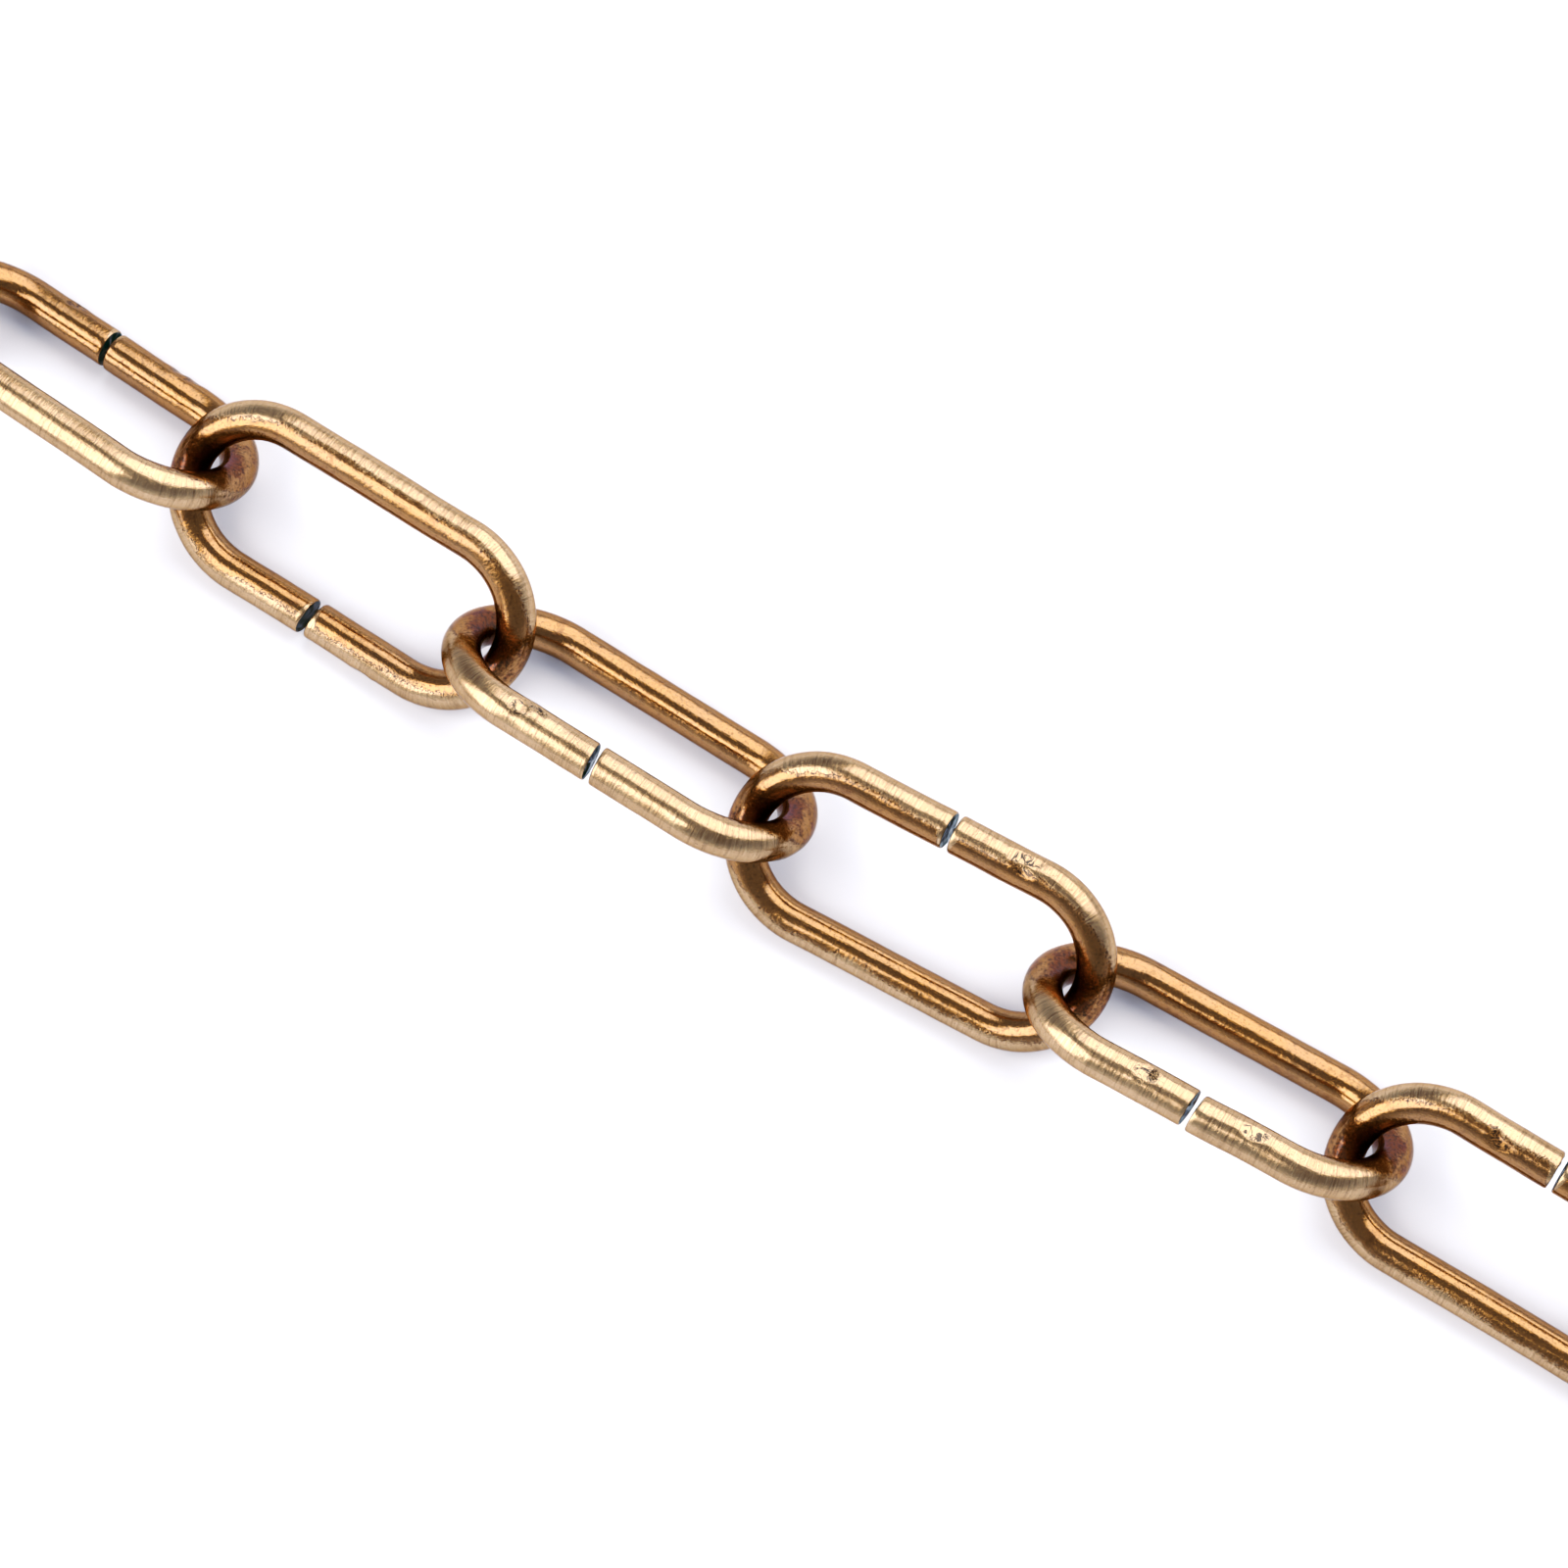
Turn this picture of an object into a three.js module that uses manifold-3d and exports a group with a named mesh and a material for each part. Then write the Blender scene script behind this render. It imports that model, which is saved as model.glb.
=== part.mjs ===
// Pocket watch chain: fourteen bent-wire links, a T-bar that passes through a
// waistcoat buttonhole, and a swivel clasp that holds the bow of a watch.
//
// Millimetres, +Z up. The chain lies on a table at z = 0, in an S: its middle run
// is straight along +X, the T-bar end curls away at low X and the clasp end at
// high X. The origin is on the table, at the middle of the chain's outline.

import * as THREE from 'three';
import { mergeVertices } from 'three/addons/utils/BufferGeometryUtils.js';
import Module from 'manifold-3d';

const wasm = await Module();
wasm.setup();

// ---------------------------------------------------------------- driving sizes

const LINK_WIRE = 1.8;        // diameter of the wire that the links are bent from
const LINK_LENGTH = 18.5;     // outside length, over both bows
const LINK_WIDTH = 9.2;       // outside width, over both side bars
const LINK_CUT = 0.45;        // opening left between the two butted wire ends
const SLACK = 0.1;            // play between two wires that pull on each other
const TURN_PLAY = 0.5;        // more play, times the sine of the turn, where the chain curls

const RING_WIRE = 1.2;        // the two jump rings that join the fittings on
const RING_OUTSIDE = 8.4;
const RING_CUT = 0.2;

const T_BAR_LENGTH = 32;      // over both ball ends
const T_BAR_BALL = 3.8;       // diameter of the ball ends
const T_BAR_SHAFT = 2.9;      // thickest part of each arm
const T_BAR_NECK = 2;         // arm beside each ball
const T_BAR_WAIST = 2.6;      // plain part under the collar
const COLLAR_WALL = 0.7;
const COLLAR_LENGTH = 3.2;
const T_BAR_EYE_INSIDE = 4.2; // hole of the loop on the collar
const EYE_WIRE = 1.2;         // wire of the T-bar's loop and of the swivel's eye
const EYE_PLAY = 0.3;         // how slack a jump ring lies in those two

const SWIVEL_EYE_INSIDE = 3.6;
const POST = 1.6;             // diameter of the swivel post
const POST_HEAD = 2.6;        // riveted head that keeps the post in the clasp
const HEAD_THICKNESS = 1.1;
const SHOULDER = 3;           // washer-like shoulder between the eye and the clasp
const SHOULDER_THICKNESS = 0.8;

const BARREL = 4.4;           // round end of the clasp, bored for the post
const BARREL_LENGTH = 3;
const CLASP_THICKNESS = 3.2;  // flat stock that the hook is cut from
const HOOK_BAR = 2.1;         // width of the hook's bar
const HOOK_INSIDE = 5.2;      // clear width inside the hook
const HOOK_REACH = 14.6;      // barrel's inner face to the centre of the hook's round end
const MOUTH_START = 5.4;      // barrel's inner face to the near end of the clear space
const MOUTH_LENGTH = 8;       // opening that the gate closes

const GATE_THICKNESS = 1.9;
const GATE_WIDTH = 1.6;
const GATE_HUB = 2.6;         // diameter of the gate's pivot end
const THUMB_NUB = 2.2;        // diameter of the half-round nub that the thumb presses
const PIN = 1.1;              // gate pivot
const PIN_HEAD = 1.8;
const PIN_HEAD_THICKNESS = 0.3;
const SPRING_WIRE = 0.25;
const SPRING_TURNS = 3;
const GATE_ROOM = 0.6;        // extra depth of the gate's slot, for the gate to swing into
const FIT = 0.15;             // clearance round a turning or riveted piece

// ------------------------------------------------------------------- mesh detail

const WIRE_SIDES = 10;
const BOW_STEPS = 8;          // sections round each half-round end of a link
const RING_STEPS = 18;
const ROUND_SIDES = 20;       // turned pieces
const ARC_STEPS = 6;          // steps along each rounded stretch of an outline
const SPRING_STEPS = 10;      // sections in each turn of the spring
const SPRING_SIDES = 5;

// ---------------------------------------------------------- how the chain is laid

// One row for each link, from the T-bar end to the clasp end: its heading on the
// table, its lean about its own length (positive lifts the left-hand side bar), the
// side bar that holds the cut, and how far it sits to the left of a taut line.
const LINKS = [
  { heading: 120, lean: -42, cut: 'left', aside: 0 },
  { heading: 90, lean: 42, cut: 'right', aside: 0 },
  { heading: 60, lean: -42, cut: 'left', aside: 0 },
  { heading: 30, lean: 42, cut: 'left', aside: 0 },
  { heading: -3, lean: -43, cut: 'left', aside: 0 },
  { heading: -1, lean: 41, cut: 'right', aside: 0.15 },
  { heading: -1, lean: -44, cut: 'right', aside: -0.2 },
  { heading: 3, lean: 41, cut: 'left', aside: -0.1 },
  { heading: 2, lean: -43, cut: 'right', aside: -0.3 },
  { heading: 0, lean: 41, cut: 'left', aside: 0.15 },
  { heading: 30, lean: -42, cut: 'right', aside: 0 },
  { heading: 60, lean: 42, cut: 'right', aside: 0 },
  { heading: 90, lean: -42, cut: 'left', aside: 0 },
  { heading: 120, lean: 42, cut: 'right', aside: 0 },
];
const ROOT_LINK = 7;          // row that the others are laid out from

// The fittings, each heading away from the chain.
const T_BAR_RING = { heading: 320, pitch: 20, lean: -56 };
const T_BAR_END = { heading: 340, pitch: 4 };
const CLASP_RING = { heading: 145, pitch: 14, lean: -45 };
const CLASP_HEADING = 180;
const SWIVEL_LEAN = 35;       // turn of the swivel's eye in the clasp

const BRASS = { color: 0x9c7434, roughness: 0.32, metalness: 1 };
const STEEL = { color: 0x8f8c86, roughness: 0.35, metalness: 1 };

// ----------------------------------------------------------------------- helpers

const radians = THREE.MathUtils.degToRad;

function named(name, geometry, finish) {
  const mesh = new THREE.Mesh(geometry, new THREE.MeshStandardMaterial(finish));
  mesh.name = name;
  return mesh;
}

function toSolid(geometry) {
  const bare = geometry.clone();
  bare.deleteAttribute('normal');
  bare.deleteAttribute('uv');
  const merged = mergeVertices(bare, 1e-4);
  const vertProperties = new Float32Array(merged.attributes.position.array);
  const triVerts = new Uint32Array(merged.index.array);
  return new wasm.Manifold(new wasm.Mesh({ numProp: 3, vertProperties, triVerts }));
}

function toGeometry(solid) {
  const mesh = solid.getMesh();
  const geometry = new THREE.BufferGeometry();
  geometry.setAttribute('position', new THREE.BufferAttribute(mesh.vertProperties, 3));
  geometry.setIndex(new THREE.BufferAttribute(mesh.triVerts, 1));
  return geometry;
}

function roundShape(diameter) {
  const shape = new THREE.Shape();
  shape.absarc(0, 0, diameter / 2, 0, 2 * Math.PI);
  return shape;
}

function wireAlong(path, diameter, steps, sides = WIRE_SIDES) {
  const options = { steps, extrudePath: path, curveSegments: sides / 2 };
  return new THREE.ExtrudeGeometry(roundShape(diameter), options);
}

// A cylinder along X, from x = start to x = end.
function rodAlongX(diameter, start, end) {
  const rod = new THREE.CylinderGeometry(diameter / 2, diameter / 2, end - start, ROUND_SIDES);
  rod.rotateZ(Math.PI / 2);
  rod.translate((start + end) / 2, 0, 0);
  return rod;
}

// A cylinder along Z, centred on z = 0, at (x, y).
function rodAlongZ(diameter, length, x, y) {
  const rod = new THREE.CylinderGeometry(diameter / 2, diameter / 2, length, ROUND_SIDES);
  rod.rotateX(Math.PI / 2);
  rod.translate(x, y, 0);
  return rod;
}

// A flat plate of the given outline, centred on z = 0.
function plate(outline, thickness) {
  const options = { depth: thickness, bevelEnabled: false, curveSegments: ARC_STEPS };
  const geometry = new THREE.ExtrudeGeometry(outline, options);
  geometry.translate(0, 0, -thickness / 2);
  return geometry;
}

// ------------------------------------------------------------------------- links

// The wire's centre line round a link, from one cut face to the other. It has a
// section only where the shape needs one: at the ends of the straights, and evenly
// round each bow. The cut is on the +Y side bar.
class LinkPath extends THREE.Curve {
  constructor(halfStraight, bowRadius, cut) {
    super();
    this.halfStraight = halfStraight;
    this.bowRadius = bowRadius;
    this.halfCut = cut / 2;
    this.steps = 2 * BOW_STEPS + 3;
  }

  getUtoTmapping(u) {
    return u;
  }

  getPoint(t, target = new THREE.Vector3()) {
    const { halfStraight, bowRadius, halfCut } = this;
    const step = t * this.steps;
    const farBow = 1 + BOW_STEPS;
    if (step < 1) {
      return target.set(-halfCut - (halfStraight - halfCut) * step, bowRadius, 0);
    }
    if (step < farBow) {
      const angle = Math.PI / 2 + Math.PI * (step - 1) / BOW_STEPS;
      return target.set(-halfStraight + bowRadius * Math.cos(angle), bowRadius * Math.sin(angle), 0);
    }
    if (step < farBow + 1) {
      return target.set(halfStraight * (2 * (step - farBow) - 1), -bowRadius, 0);
    }
    if (step < farBow + 1 + BOW_STEPS) {
      const angle = -Math.PI / 2 + Math.PI * (step - farBow - 1) / BOW_STEPS;
      return target.set(halfStraight + bowRadius * Math.cos(angle), bowRadius * Math.sin(angle), 0);
    }
    const left = this.steps - step;
    return target.set(halfCut + (halfStraight - halfCut) * left, bowRadius, 0);
  }
}

function linkGeometry(cutSide) {
  const bowRadius = (LINK_WIDTH - LINK_WIRE) / 2;
  const halfStraight = (LINK_LENGTH - LINK_WIDTH) / 2;
  const path = new LinkPath(halfStraight, bowRadius, LINK_CUT);
  const geometry = wireAlong(path, LINK_WIRE, path.steps);
  if (cutSide === 'right') {
    geometry.rotateZ(Math.PI);
  }
  return geometry;
}

// ---------------------------------------------------------------- rings and eyes

class RingPath extends THREE.Curve {
  constructor(radius, cut) {
    super();
    this.radius = radius;
    this.cutAngle = cut / radius;
  }

  getPoint(t, target = new THREE.Vector3()) {
    const angle = Math.PI / 2 + this.cutAngle / 2 + t * (2 * Math.PI - this.cutAngle);
    return target.set(this.radius * Math.cos(angle), this.radius * Math.sin(angle), 0);
  }
}

function jumpRingGeometry() {
  const path = new RingPath((RING_OUTSIDE - RING_WIRE) / 2, RING_CUT);
  return wireAlong(path, RING_WIRE, RING_STEPS);
}

// A closed loop of EYE_WIRE lying in the XY plane, with its centre at (x, 0).
function eyeGeometry(inside, x) {
  const radius = (inside + EYE_WIRE) / 2;
  const eye = new THREE.TorusGeometry(radius, EYE_WIRE / 2, WIRE_SIDES, RING_STEPS);
  eye.translate(x, 0, 0);
  return eye;
}

// ------------------------------------------------------------------------- T-bar

// Local frame: the bar lies along Y through the origin and its loop is at -X.

function tBarGeometry() {
  const half = T_BAR_LENGTH / 2;
  const ball = T_BAR_BALL / 2;
  const ballCentre = half - ball;
  const neckAngle = Math.asin(T_BAR_NECK / T_BAR_BALL);
  const profile = [new THREE.Vector2(0, half)];
  for (let i = 1; i <= ARC_STEPS; i += 1) {
    const angle = (Math.PI - neckAngle) * i / ARC_STEPS;
    profile.push(new THREE.Vector2(ball * Math.sin(angle), ballCentre + ball * Math.cos(angle)));
  }
  const armEnd = COLLAR_LENGTH / 2 + FIT;
  const neckEnd = ballCentre - ball * Math.cos(neckAngle);
  for (let i = 1; i <= ARC_STEPS; i += 1) {
    const along = i / ARC_STEPS;
    const swell = Math.sin(Math.PI / 2 * along);
    const radius = (T_BAR_NECK + (T_BAR_SHAFT + COLLAR_WALL - T_BAR_NECK) * swell) / 2;
    profile.push(new THREE.Vector2(radius, neckEnd + (armEnd - neckEnd) * along));
  }
  profile.push(new THREE.Vector2(T_BAR_WAIST / 2, armEnd));
  const mirrored = profile.slice().reverse().map((point) => new THREE.Vector2(point.x, -point.y));
  return new THREE.LatheGeometry([...profile, ...mirrored].reverse(), ROUND_SIDES);
}

const COLLAR_BORE = T_BAR_WAIST + 2 * FIT;
const T_BAR_EYE_CENTRE = COLLAR_BORE / 2 + EYE_WIRE + T_BAR_EYE_INSIDE / 2 + FIT;

function tBarEyeGeometry() {
  const inner = COLLAR_BORE / 2;
  const outer = inner + COLLAR_WALL;
  const half = COLLAR_LENGTH / 2;
  const collar = new THREE.LatheGeometry([
    new THREE.Vector2(inner, -half),
    new THREE.Vector2(outer, -half),
    new THREE.Vector2(outer, half),
    new THREE.Vector2(inner, half),
    new THREE.Vector2(inner, -half),
  ], ROUND_SIDES);
  const loop = eyeGeometry(T_BAR_EYE_INSIDE, -T_BAR_EYE_CENTRE);
  return toGeometry(toSolid(collar).add(toSolid(loop)));
}

// ------------------------------------------------------------------------- clasp

// Local frame: the swivel post runs along X, the barrel's outer face is at x = 0,
// the hook reaches to +X and its gate is on the +Y side.

const WINDOW_END = BARREL_LENGTH + HEAD_THICKNESS + 4 * FIT;
const HOOK_CENTRE = BARREL_LENGTH + HOOK_REACH;
const HOOK_HALF_INSIDE = HOOK_INSIDE / 2;
const HOOK_HALF_OUTSIDE = HOOK_HALF_INSIDE + HOOK_BAR;
const MOUTH_X = BARREL_LENGTH + MOUTH_START;
const NIB_X = MOUTH_X + MOUTH_LENGTH;
const CHEEK_RADIUS = GATE_HUB / 2 + FIT;
const PIVOT = new THREE.Vector2(MOUTH_X - CHEEK_RADIUS, HOOK_HALF_OUTSIDE - CHEEK_RADIUS);
const GATE_SLOT = GATE_THICKNESS + 2 * FIT;
const SWIVEL_EYE_RADIUS = (SWIVEL_EYE_INSIDE + EYE_WIRE) / 2;
const SHOULDER_START = -FIT - SHOULDER_THICKNESS;
const SWIVEL_EYE_CENTRE = SHOULDER_START - SWIVEL_EYE_RADIUS - EYE_WIRE / 4;

function claspBodyGeometry() {
  const blockStart = BARREL_LENGTH - HEAD_THICKNESS / 2;
  const neckHalf = BARREL / 2 + FIT;
  const corner = HOOK_HALF_INSIDE / 2;
  const cheekStart = radians(120);
  const outline = new THREE.Shape();
  outline.moveTo(blockStart, -neckHalf);
  outline.quadraticCurveTo(WINDOW_END, -HOOK_HALF_OUTSIDE, MOUTH_X, -HOOK_HALF_OUTSIDE);
  outline.lineTo(HOOK_CENTRE, -HOOK_HALF_OUTSIDE);
  outline.absarc(HOOK_CENTRE, 0, HOOK_HALF_OUTSIDE, -Math.PI / 2, Math.PI / 2);
  outline.lineTo(NIB_X, HOOK_HALF_OUTSIDE);
  outline.lineTo(NIB_X, HOOK_HALF_INSIDE);
  outline.lineTo(HOOK_CENTRE, HOOK_HALF_INSIDE);
  outline.absarc(HOOK_CENTRE, 0, HOOK_HALF_INSIDE, Math.PI / 2, -Math.PI / 2, true);
  outline.lineTo(MOUTH_X + corner, -HOOK_HALF_INSIDE);
  outline.absarc(MOUTH_X + corner, corner - HOOK_HALF_INSIDE, corner, -Math.PI / 2, -Math.PI, true);
  outline.lineTo(MOUTH_X, PIVOT.y);
  outline.absarc(PIVOT.x, PIVOT.y, CHEEK_RADIUS, 0, cheekStart);
  outline.lineTo(blockStart, neckHalf);
  outline.closePath();

  const windowLength = WINDOW_END - BARREL_LENGTH;
  const window = new THREE.BoxGeometry(windowLength, POST_HEAD + 4 * FIT, 2 * CLASP_THICKNESS);
  window.translate(BARREL_LENGTH + windowLength / 2, 0, 0);

  const slotWidth = GATE_HUB + 4 * FIT;
  const slotFloor = PIVOT.y - GATE_HUB / 2 - FIT - GATE_ROOM;
  const slot = new THREE.BoxGeometry(slotWidth, 2 * slotWidth, GATE_SLOT);
  slot.translate(PIVOT.x, slotFloor + slotWidth, 0);

  const body = toSolid(plate(outline, CLASP_THICKNESS))
    .add(toSolid(rodAlongX(BARREL, 0, BARREL_LENGTH)))
    .subtract(toSolid(rodAlongX(POST + 2 * FIT, -BARREL_LENGTH, WINDOW_END)))
    .subtract(toSolid(window))
    .subtract(toSolid(slot))
    .subtract(toSolid(rodAlongZ(PIN + FIT, 2 * CLASP_THICKNESS, PIVOT.x, PIVOT.y)));
  return toGeometry(body);
}

function swivelGeometry() {
  const headStart = BARREL_LENGTH + 2 * FIT;
  const headEnd = headStart + HEAD_THICKNESS;
  const swivel = toSolid(eyeGeometry(SWIVEL_EYE_INSIDE, SWIVEL_EYE_CENTRE))
    .add(toSolid(rodAlongX(SHOULDER, SHOULDER_START, -FIT)))
    .add(toSolid(rodAlongX(POST, SHOULDER_START, headEnd)))
    .add(toSolid(rodAlongX(POST_HEAD, headStart, headEnd)));
  return toGeometry(swivel);
}

function gateGeometry() {
  const tip = NIB_X - FIT;
  const outer = PIVOT.y + GATE_WIDTH / 2;
  const inner = PIVOT.y - GATE_WIDTH / 2;
  const nubX = (PIVOT.x + NIB_X) / 2 + THUMB_NUB;
  const arm = new THREE.Shape();
  arm.moveTo(PIVOT.x, inner);
  arm.lineTo(tip, inner);
  arm.lineTo(tip, outer);
  arm.lineTo(nubX + THUMB_NUB / 2, outer);
  arm.absarc(nubX, outer, THUMB_NUB / 2, 0, Math.PI);
  arm.lineTo(PIVOT.x, outer);
  arm.closePath();

  const springRoom = SPRING_WIRE * (SPRING_TURNS + 1) + 2 * FIT;
  const gate = toSolid(plate(arm, GATE_THICKNESS))
    .add(toSolid(rodAlongZ(GATE_HUB, GATE_THICKNESS, PIVOT.x, PIVOT.y)))
    .subtract(toSolid(rodAlongZ(GATE_HUB - 2 * FIT, springRoom, PIVOT.x, PIVOT.y)))
    .subtract(toSolid(rodAlongZ(PIN + 2 * FIT, 2 * GATE_THICKNESS, PIVOT.x, PIVOT.y)));
  return toGeometry(gate);
}

function pinGeometry() {
  const reach = CLASP_THICKNESS / 2 + FIT / 3;
  const end = reach + PIN_HEAD_THICKNESS;
  const pin = new THREE.LatheGeometry([
    new THREE.Vector2(0, -end),
    new THREE.Vector2(PIN_HEAD / 2, -reach),
    new THREE.Vector2(PIN / 2, -reach),
    new THREE.Vector2(PIN / 2, reach),
    new THREE.Vector2(PIN_HEAD / 2, reach),
    new THREE.Vector2(0, end),
  ], ROUND_SIDES);
  pin.rotateX(Math.PI / 2);
  pin.translate(PIVOT.x, PIVOT.y, 0);
  return pin;
}

class SpringPath extends THREE.Curve {
  getPoint(t, target = new THREE.Vector3()) {
    const radius = (PIN / 2 + FIT + GATE_HUB / 2 - FIT) / 2;
    const angle = t * SPRING_TURNS * 2 * Math.PI;
    const rise = (t - 0.5) * SPRING_TURNS * (SPRING_WIRE + FIT / 3);
    return target.set(PIVOT.x + radius * Math.cos(angle), PIVOT.y + radius * Math.sin(angle), rise);
  }
}

function springGeometry() {
  return wireAlong(new SpringPath(), SPRING_WIRE, SPRING_TURNS * SPRING_STEPS, SPRING_SIDES * 2);
}

// ------------------------------------------------------------------------ layout

function forward(headingDegrees, pitchDegrees = 0) {
  const heading = radians(headingDegrees);
  const pitch = radians(pitchDegrees);
  const level = Math.cos(pitch);
  return new THREE.Vector3(level * Math.cos(heading), level * Math.sin(heading), -Math.sin(pitch));
}

// Turns a piece to its heading, nose-down pitch and lean, and rests it on the table.
function lay(piece, x, y, headingDegrees, leanDegrees = 0, pitchDegrees = 0) {
  piece.rotation.set(radians(leanDegrees), radians(pitchDegrees), radians(headingDegrees), 'ZYX');
  piece.position.set(x, y, 0);
  piece.updateMatrixWorld(true);
  const lowest = new THREE.Box3().setFromObject(piece, true).min.z;
  piece.position.z = -lowest;
  piece.updateMatrixWorld(true);
}

// The centre of a piece that hangs in the last one's bow. A reach is the distance
// from a piece's centre to the centre of its bow wire.
function nextCentre(from, fromForward, fromReach, toForward, toReach, wires) {
  const pull = fromForward.clone().add(toForward).normalize();
  const turn = fromForward.angleTo(toForward);
  const apart = wires + SLACK + TURN_PLAY * Math.sin(turn);
  return from.clone()
    .addScaledVector(fromForward, fromReach)
    .addScaledVector(pull, -apart)
    .addScaledVector(toForward, toReach);
}

const chain = new THREE.Group();
const LINK_REACH = (LINK_LENGTH - LINK_WIRE) / 2;
const RING_REACH = (RING_OUTSIDE - RING_WIRE) / 2;

const linkCentres = new Array(LINKS.length);
linkCentres[ROOT_LINK] = new THREE.Vector3();

function layNextLink(from, to, facing) {
  const fromForward = forward(LINKS[from].heading).multiplyScalar(facing);
  const toForward = forward(LINKS[to].heading).multiplyScalar(facing);
  const centre = nextCentre(linkCentres[from], fromForward, LINK_REACH, toForward, LINK_REACH, LINK_WIRE);
  const later = Math.max(from, to);
  const left = forward(LINKS[later].heading + 90);
  linkCentres[to] = centre.addScaledVector(left, LINKS[later].aside * facing);
}

for (let row = ROOT_LINK; row < LINKS.length - 1; row += 1) {
  layNextLink(row, row + 1, 1);
}
for (let row = ROOT_LINK; row > 0; row -= 1) {
  layNextLink(row, row - 1, -1);
}
LINKS.forEach((link, row) => {
  const number = String(row + 1).padStart(2, '0');
  const mesh = named(`link_${number}`, linkGeometry(link.cut), BRASS);
  lay(mesh, linkCentres[row].x, linkCentres[row].y, link.heading, link.lean);
  chain.add(mesh);
});

const RING_ON_LINK = (LINK_WIRE + RING_WIRE) / 2;
const RING_ON_EYE = (RING_WIRE + EYE_WIRE) / 2 + EYE_PLAY;

// The T-bar end, which heads away from link_01.
const firstForward = forward(LINKS[0].heading + 180);
const tBarRingForward = forward(T_BAR_RING.heading, T_BAR_RING.pitch);
const tBarForward = forward(T_BAR_END.heading, T_BAR_END.pitch);
const tBarRingCentre = nextCentre(
  linkCentres[0], firstForward, LINK_REACH, tBarRingForward, RING_REACH, RING_ON_LINK,
);
const tBarRing = named('t_bar_ring', jumpRingGeometry(), BRASS);
lay(tBarRing, tBarRingCentre.x, tBarRingCentre.y, T_BAR_RING.heading, T_BAR_RING.lean, T_BAR_RING.pitch);
chain.add(tBarRing);

const tBarEyeReach = T_BAR_EYE_CENTRE + (T_BAR_EYE_INSIDE + EYE_WIRE) / 2;
const tBarCentre = nextCentre(
  tBarRingCentre, tBarRingForward, RING_REACH, tBarForward, tBarEyeReach, RING_ON_EYE,
);
const tBarEnd = new THREE.Group();
tBarEnd.add(named('t_bar', tBarGeometry(), BRASS));
tBarEnd.add(named('t_bar_eye', tBarEyeGeometry(), BRASS));
lay(tBarEnd, tBarCentre.x, tBarCentre.y, T_BAR_END.heading, 0, T_BAR_END.pitch);
chain.add(tBarEnd);

// The clasp end, which heads away from the last link.
const lastRow = LINKS.length - 1;
const claspRingForward = forward(CLASP_RING.heading, CLASP_RING.pitch);
const claspForward = forward(CLASP_HEADING);
const claspRingCentre = nextCentre(
  linkCentres[lastRow], forward(LINKS[lastRow].heading), LINK_REACH,
  claspRingForward, RING_REACH, RING_ON_LINK,
);
const claspRing = named('clasp_ring', jumpRingGeometry(), BRASS);
lay(claspRing, claspRingCentre.x, claspRingCentre.y, CLASP_RING.heading, CLASP_RING.lean, CLASP_RING.pitch);
chain.add(claspRing);

const swivelReach = SWIVEL_EYE_RADIUS - SWIVEL_EYE_CENTRE;
const claspCentre = nextCentre(
  claspRingCentre, claspRingForward, RING_REACH, claspForward, swivelReach, RING_ON_EYE,
);
const clasp = new THREE.Group();
const swivel = named('clasp_swivel', swivelGeometry(), BRASS);
swivel.rotation.x = radians(SWIVEL_LEAN);
clasp.add(swivel);
clasp.add(named('clasp_body', claspBodyGeometry(), BRASS));
clasp.add(named('clasp_gate', gateGeometry(), BRASS));
clasp.add(named('gate_pin', pinGeometry(), STEEL));
clasp.add(named('gate_spring', springGeometry(), STEEL));
lay(clasp, claspCentre.x, claspCentre.y, CLASP_HEADING);
chain.add(clasp);

// The outline's middle goes to the origin.
chain.updateMatrixWorld(true);
const outlineMiddle = new THREE.Box3().setFromObject(chain, true).getCenter(new THREE.Vector3());
chain.position.set(-outlineMiddle.x, -outlineMiddle.y, 0);
chain.updateMatrixWorld(true);

export default chain;
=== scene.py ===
"""Pocket watch chain in antique brass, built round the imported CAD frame.

Shapes are worked out in millimetres and turned into metres when a mesh is made.
"""

import math
import random

import bmesh
import bpy
import numpy as np
from mathutils import Matrix, Vector, noise


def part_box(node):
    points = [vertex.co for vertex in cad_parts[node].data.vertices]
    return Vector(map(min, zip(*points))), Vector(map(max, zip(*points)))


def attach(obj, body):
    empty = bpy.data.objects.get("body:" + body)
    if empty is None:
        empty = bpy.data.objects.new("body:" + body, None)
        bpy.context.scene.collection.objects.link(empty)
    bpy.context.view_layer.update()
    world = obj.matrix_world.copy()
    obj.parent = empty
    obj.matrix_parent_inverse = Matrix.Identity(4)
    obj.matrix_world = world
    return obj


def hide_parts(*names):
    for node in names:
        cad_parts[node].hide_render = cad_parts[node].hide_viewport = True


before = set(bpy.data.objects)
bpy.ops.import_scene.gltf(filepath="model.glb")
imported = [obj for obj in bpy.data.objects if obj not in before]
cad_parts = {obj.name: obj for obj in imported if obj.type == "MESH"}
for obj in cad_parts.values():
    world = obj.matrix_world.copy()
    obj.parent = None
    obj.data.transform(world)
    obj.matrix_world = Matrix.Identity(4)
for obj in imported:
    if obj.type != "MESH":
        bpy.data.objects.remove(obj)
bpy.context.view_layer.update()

MM = 0.001
BRASS = "antique_brass"
STEEL = "spring_steel"

# --- sizes of the real pieces, as in the CAD model (mm) ---------------------

LINK_WIRE = 1.8
LINK_RADIUS = 3.7           # bow, to the middle of the wire
LINK_HALF_STRAIGHT = 4.65
RING_WIRE = 1.2
RING_RADIUS = 3.6
RING_GAP = 0.2
WIRE_SHY = 0.01             # how much thinner the round wire is than its CAD solid

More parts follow.
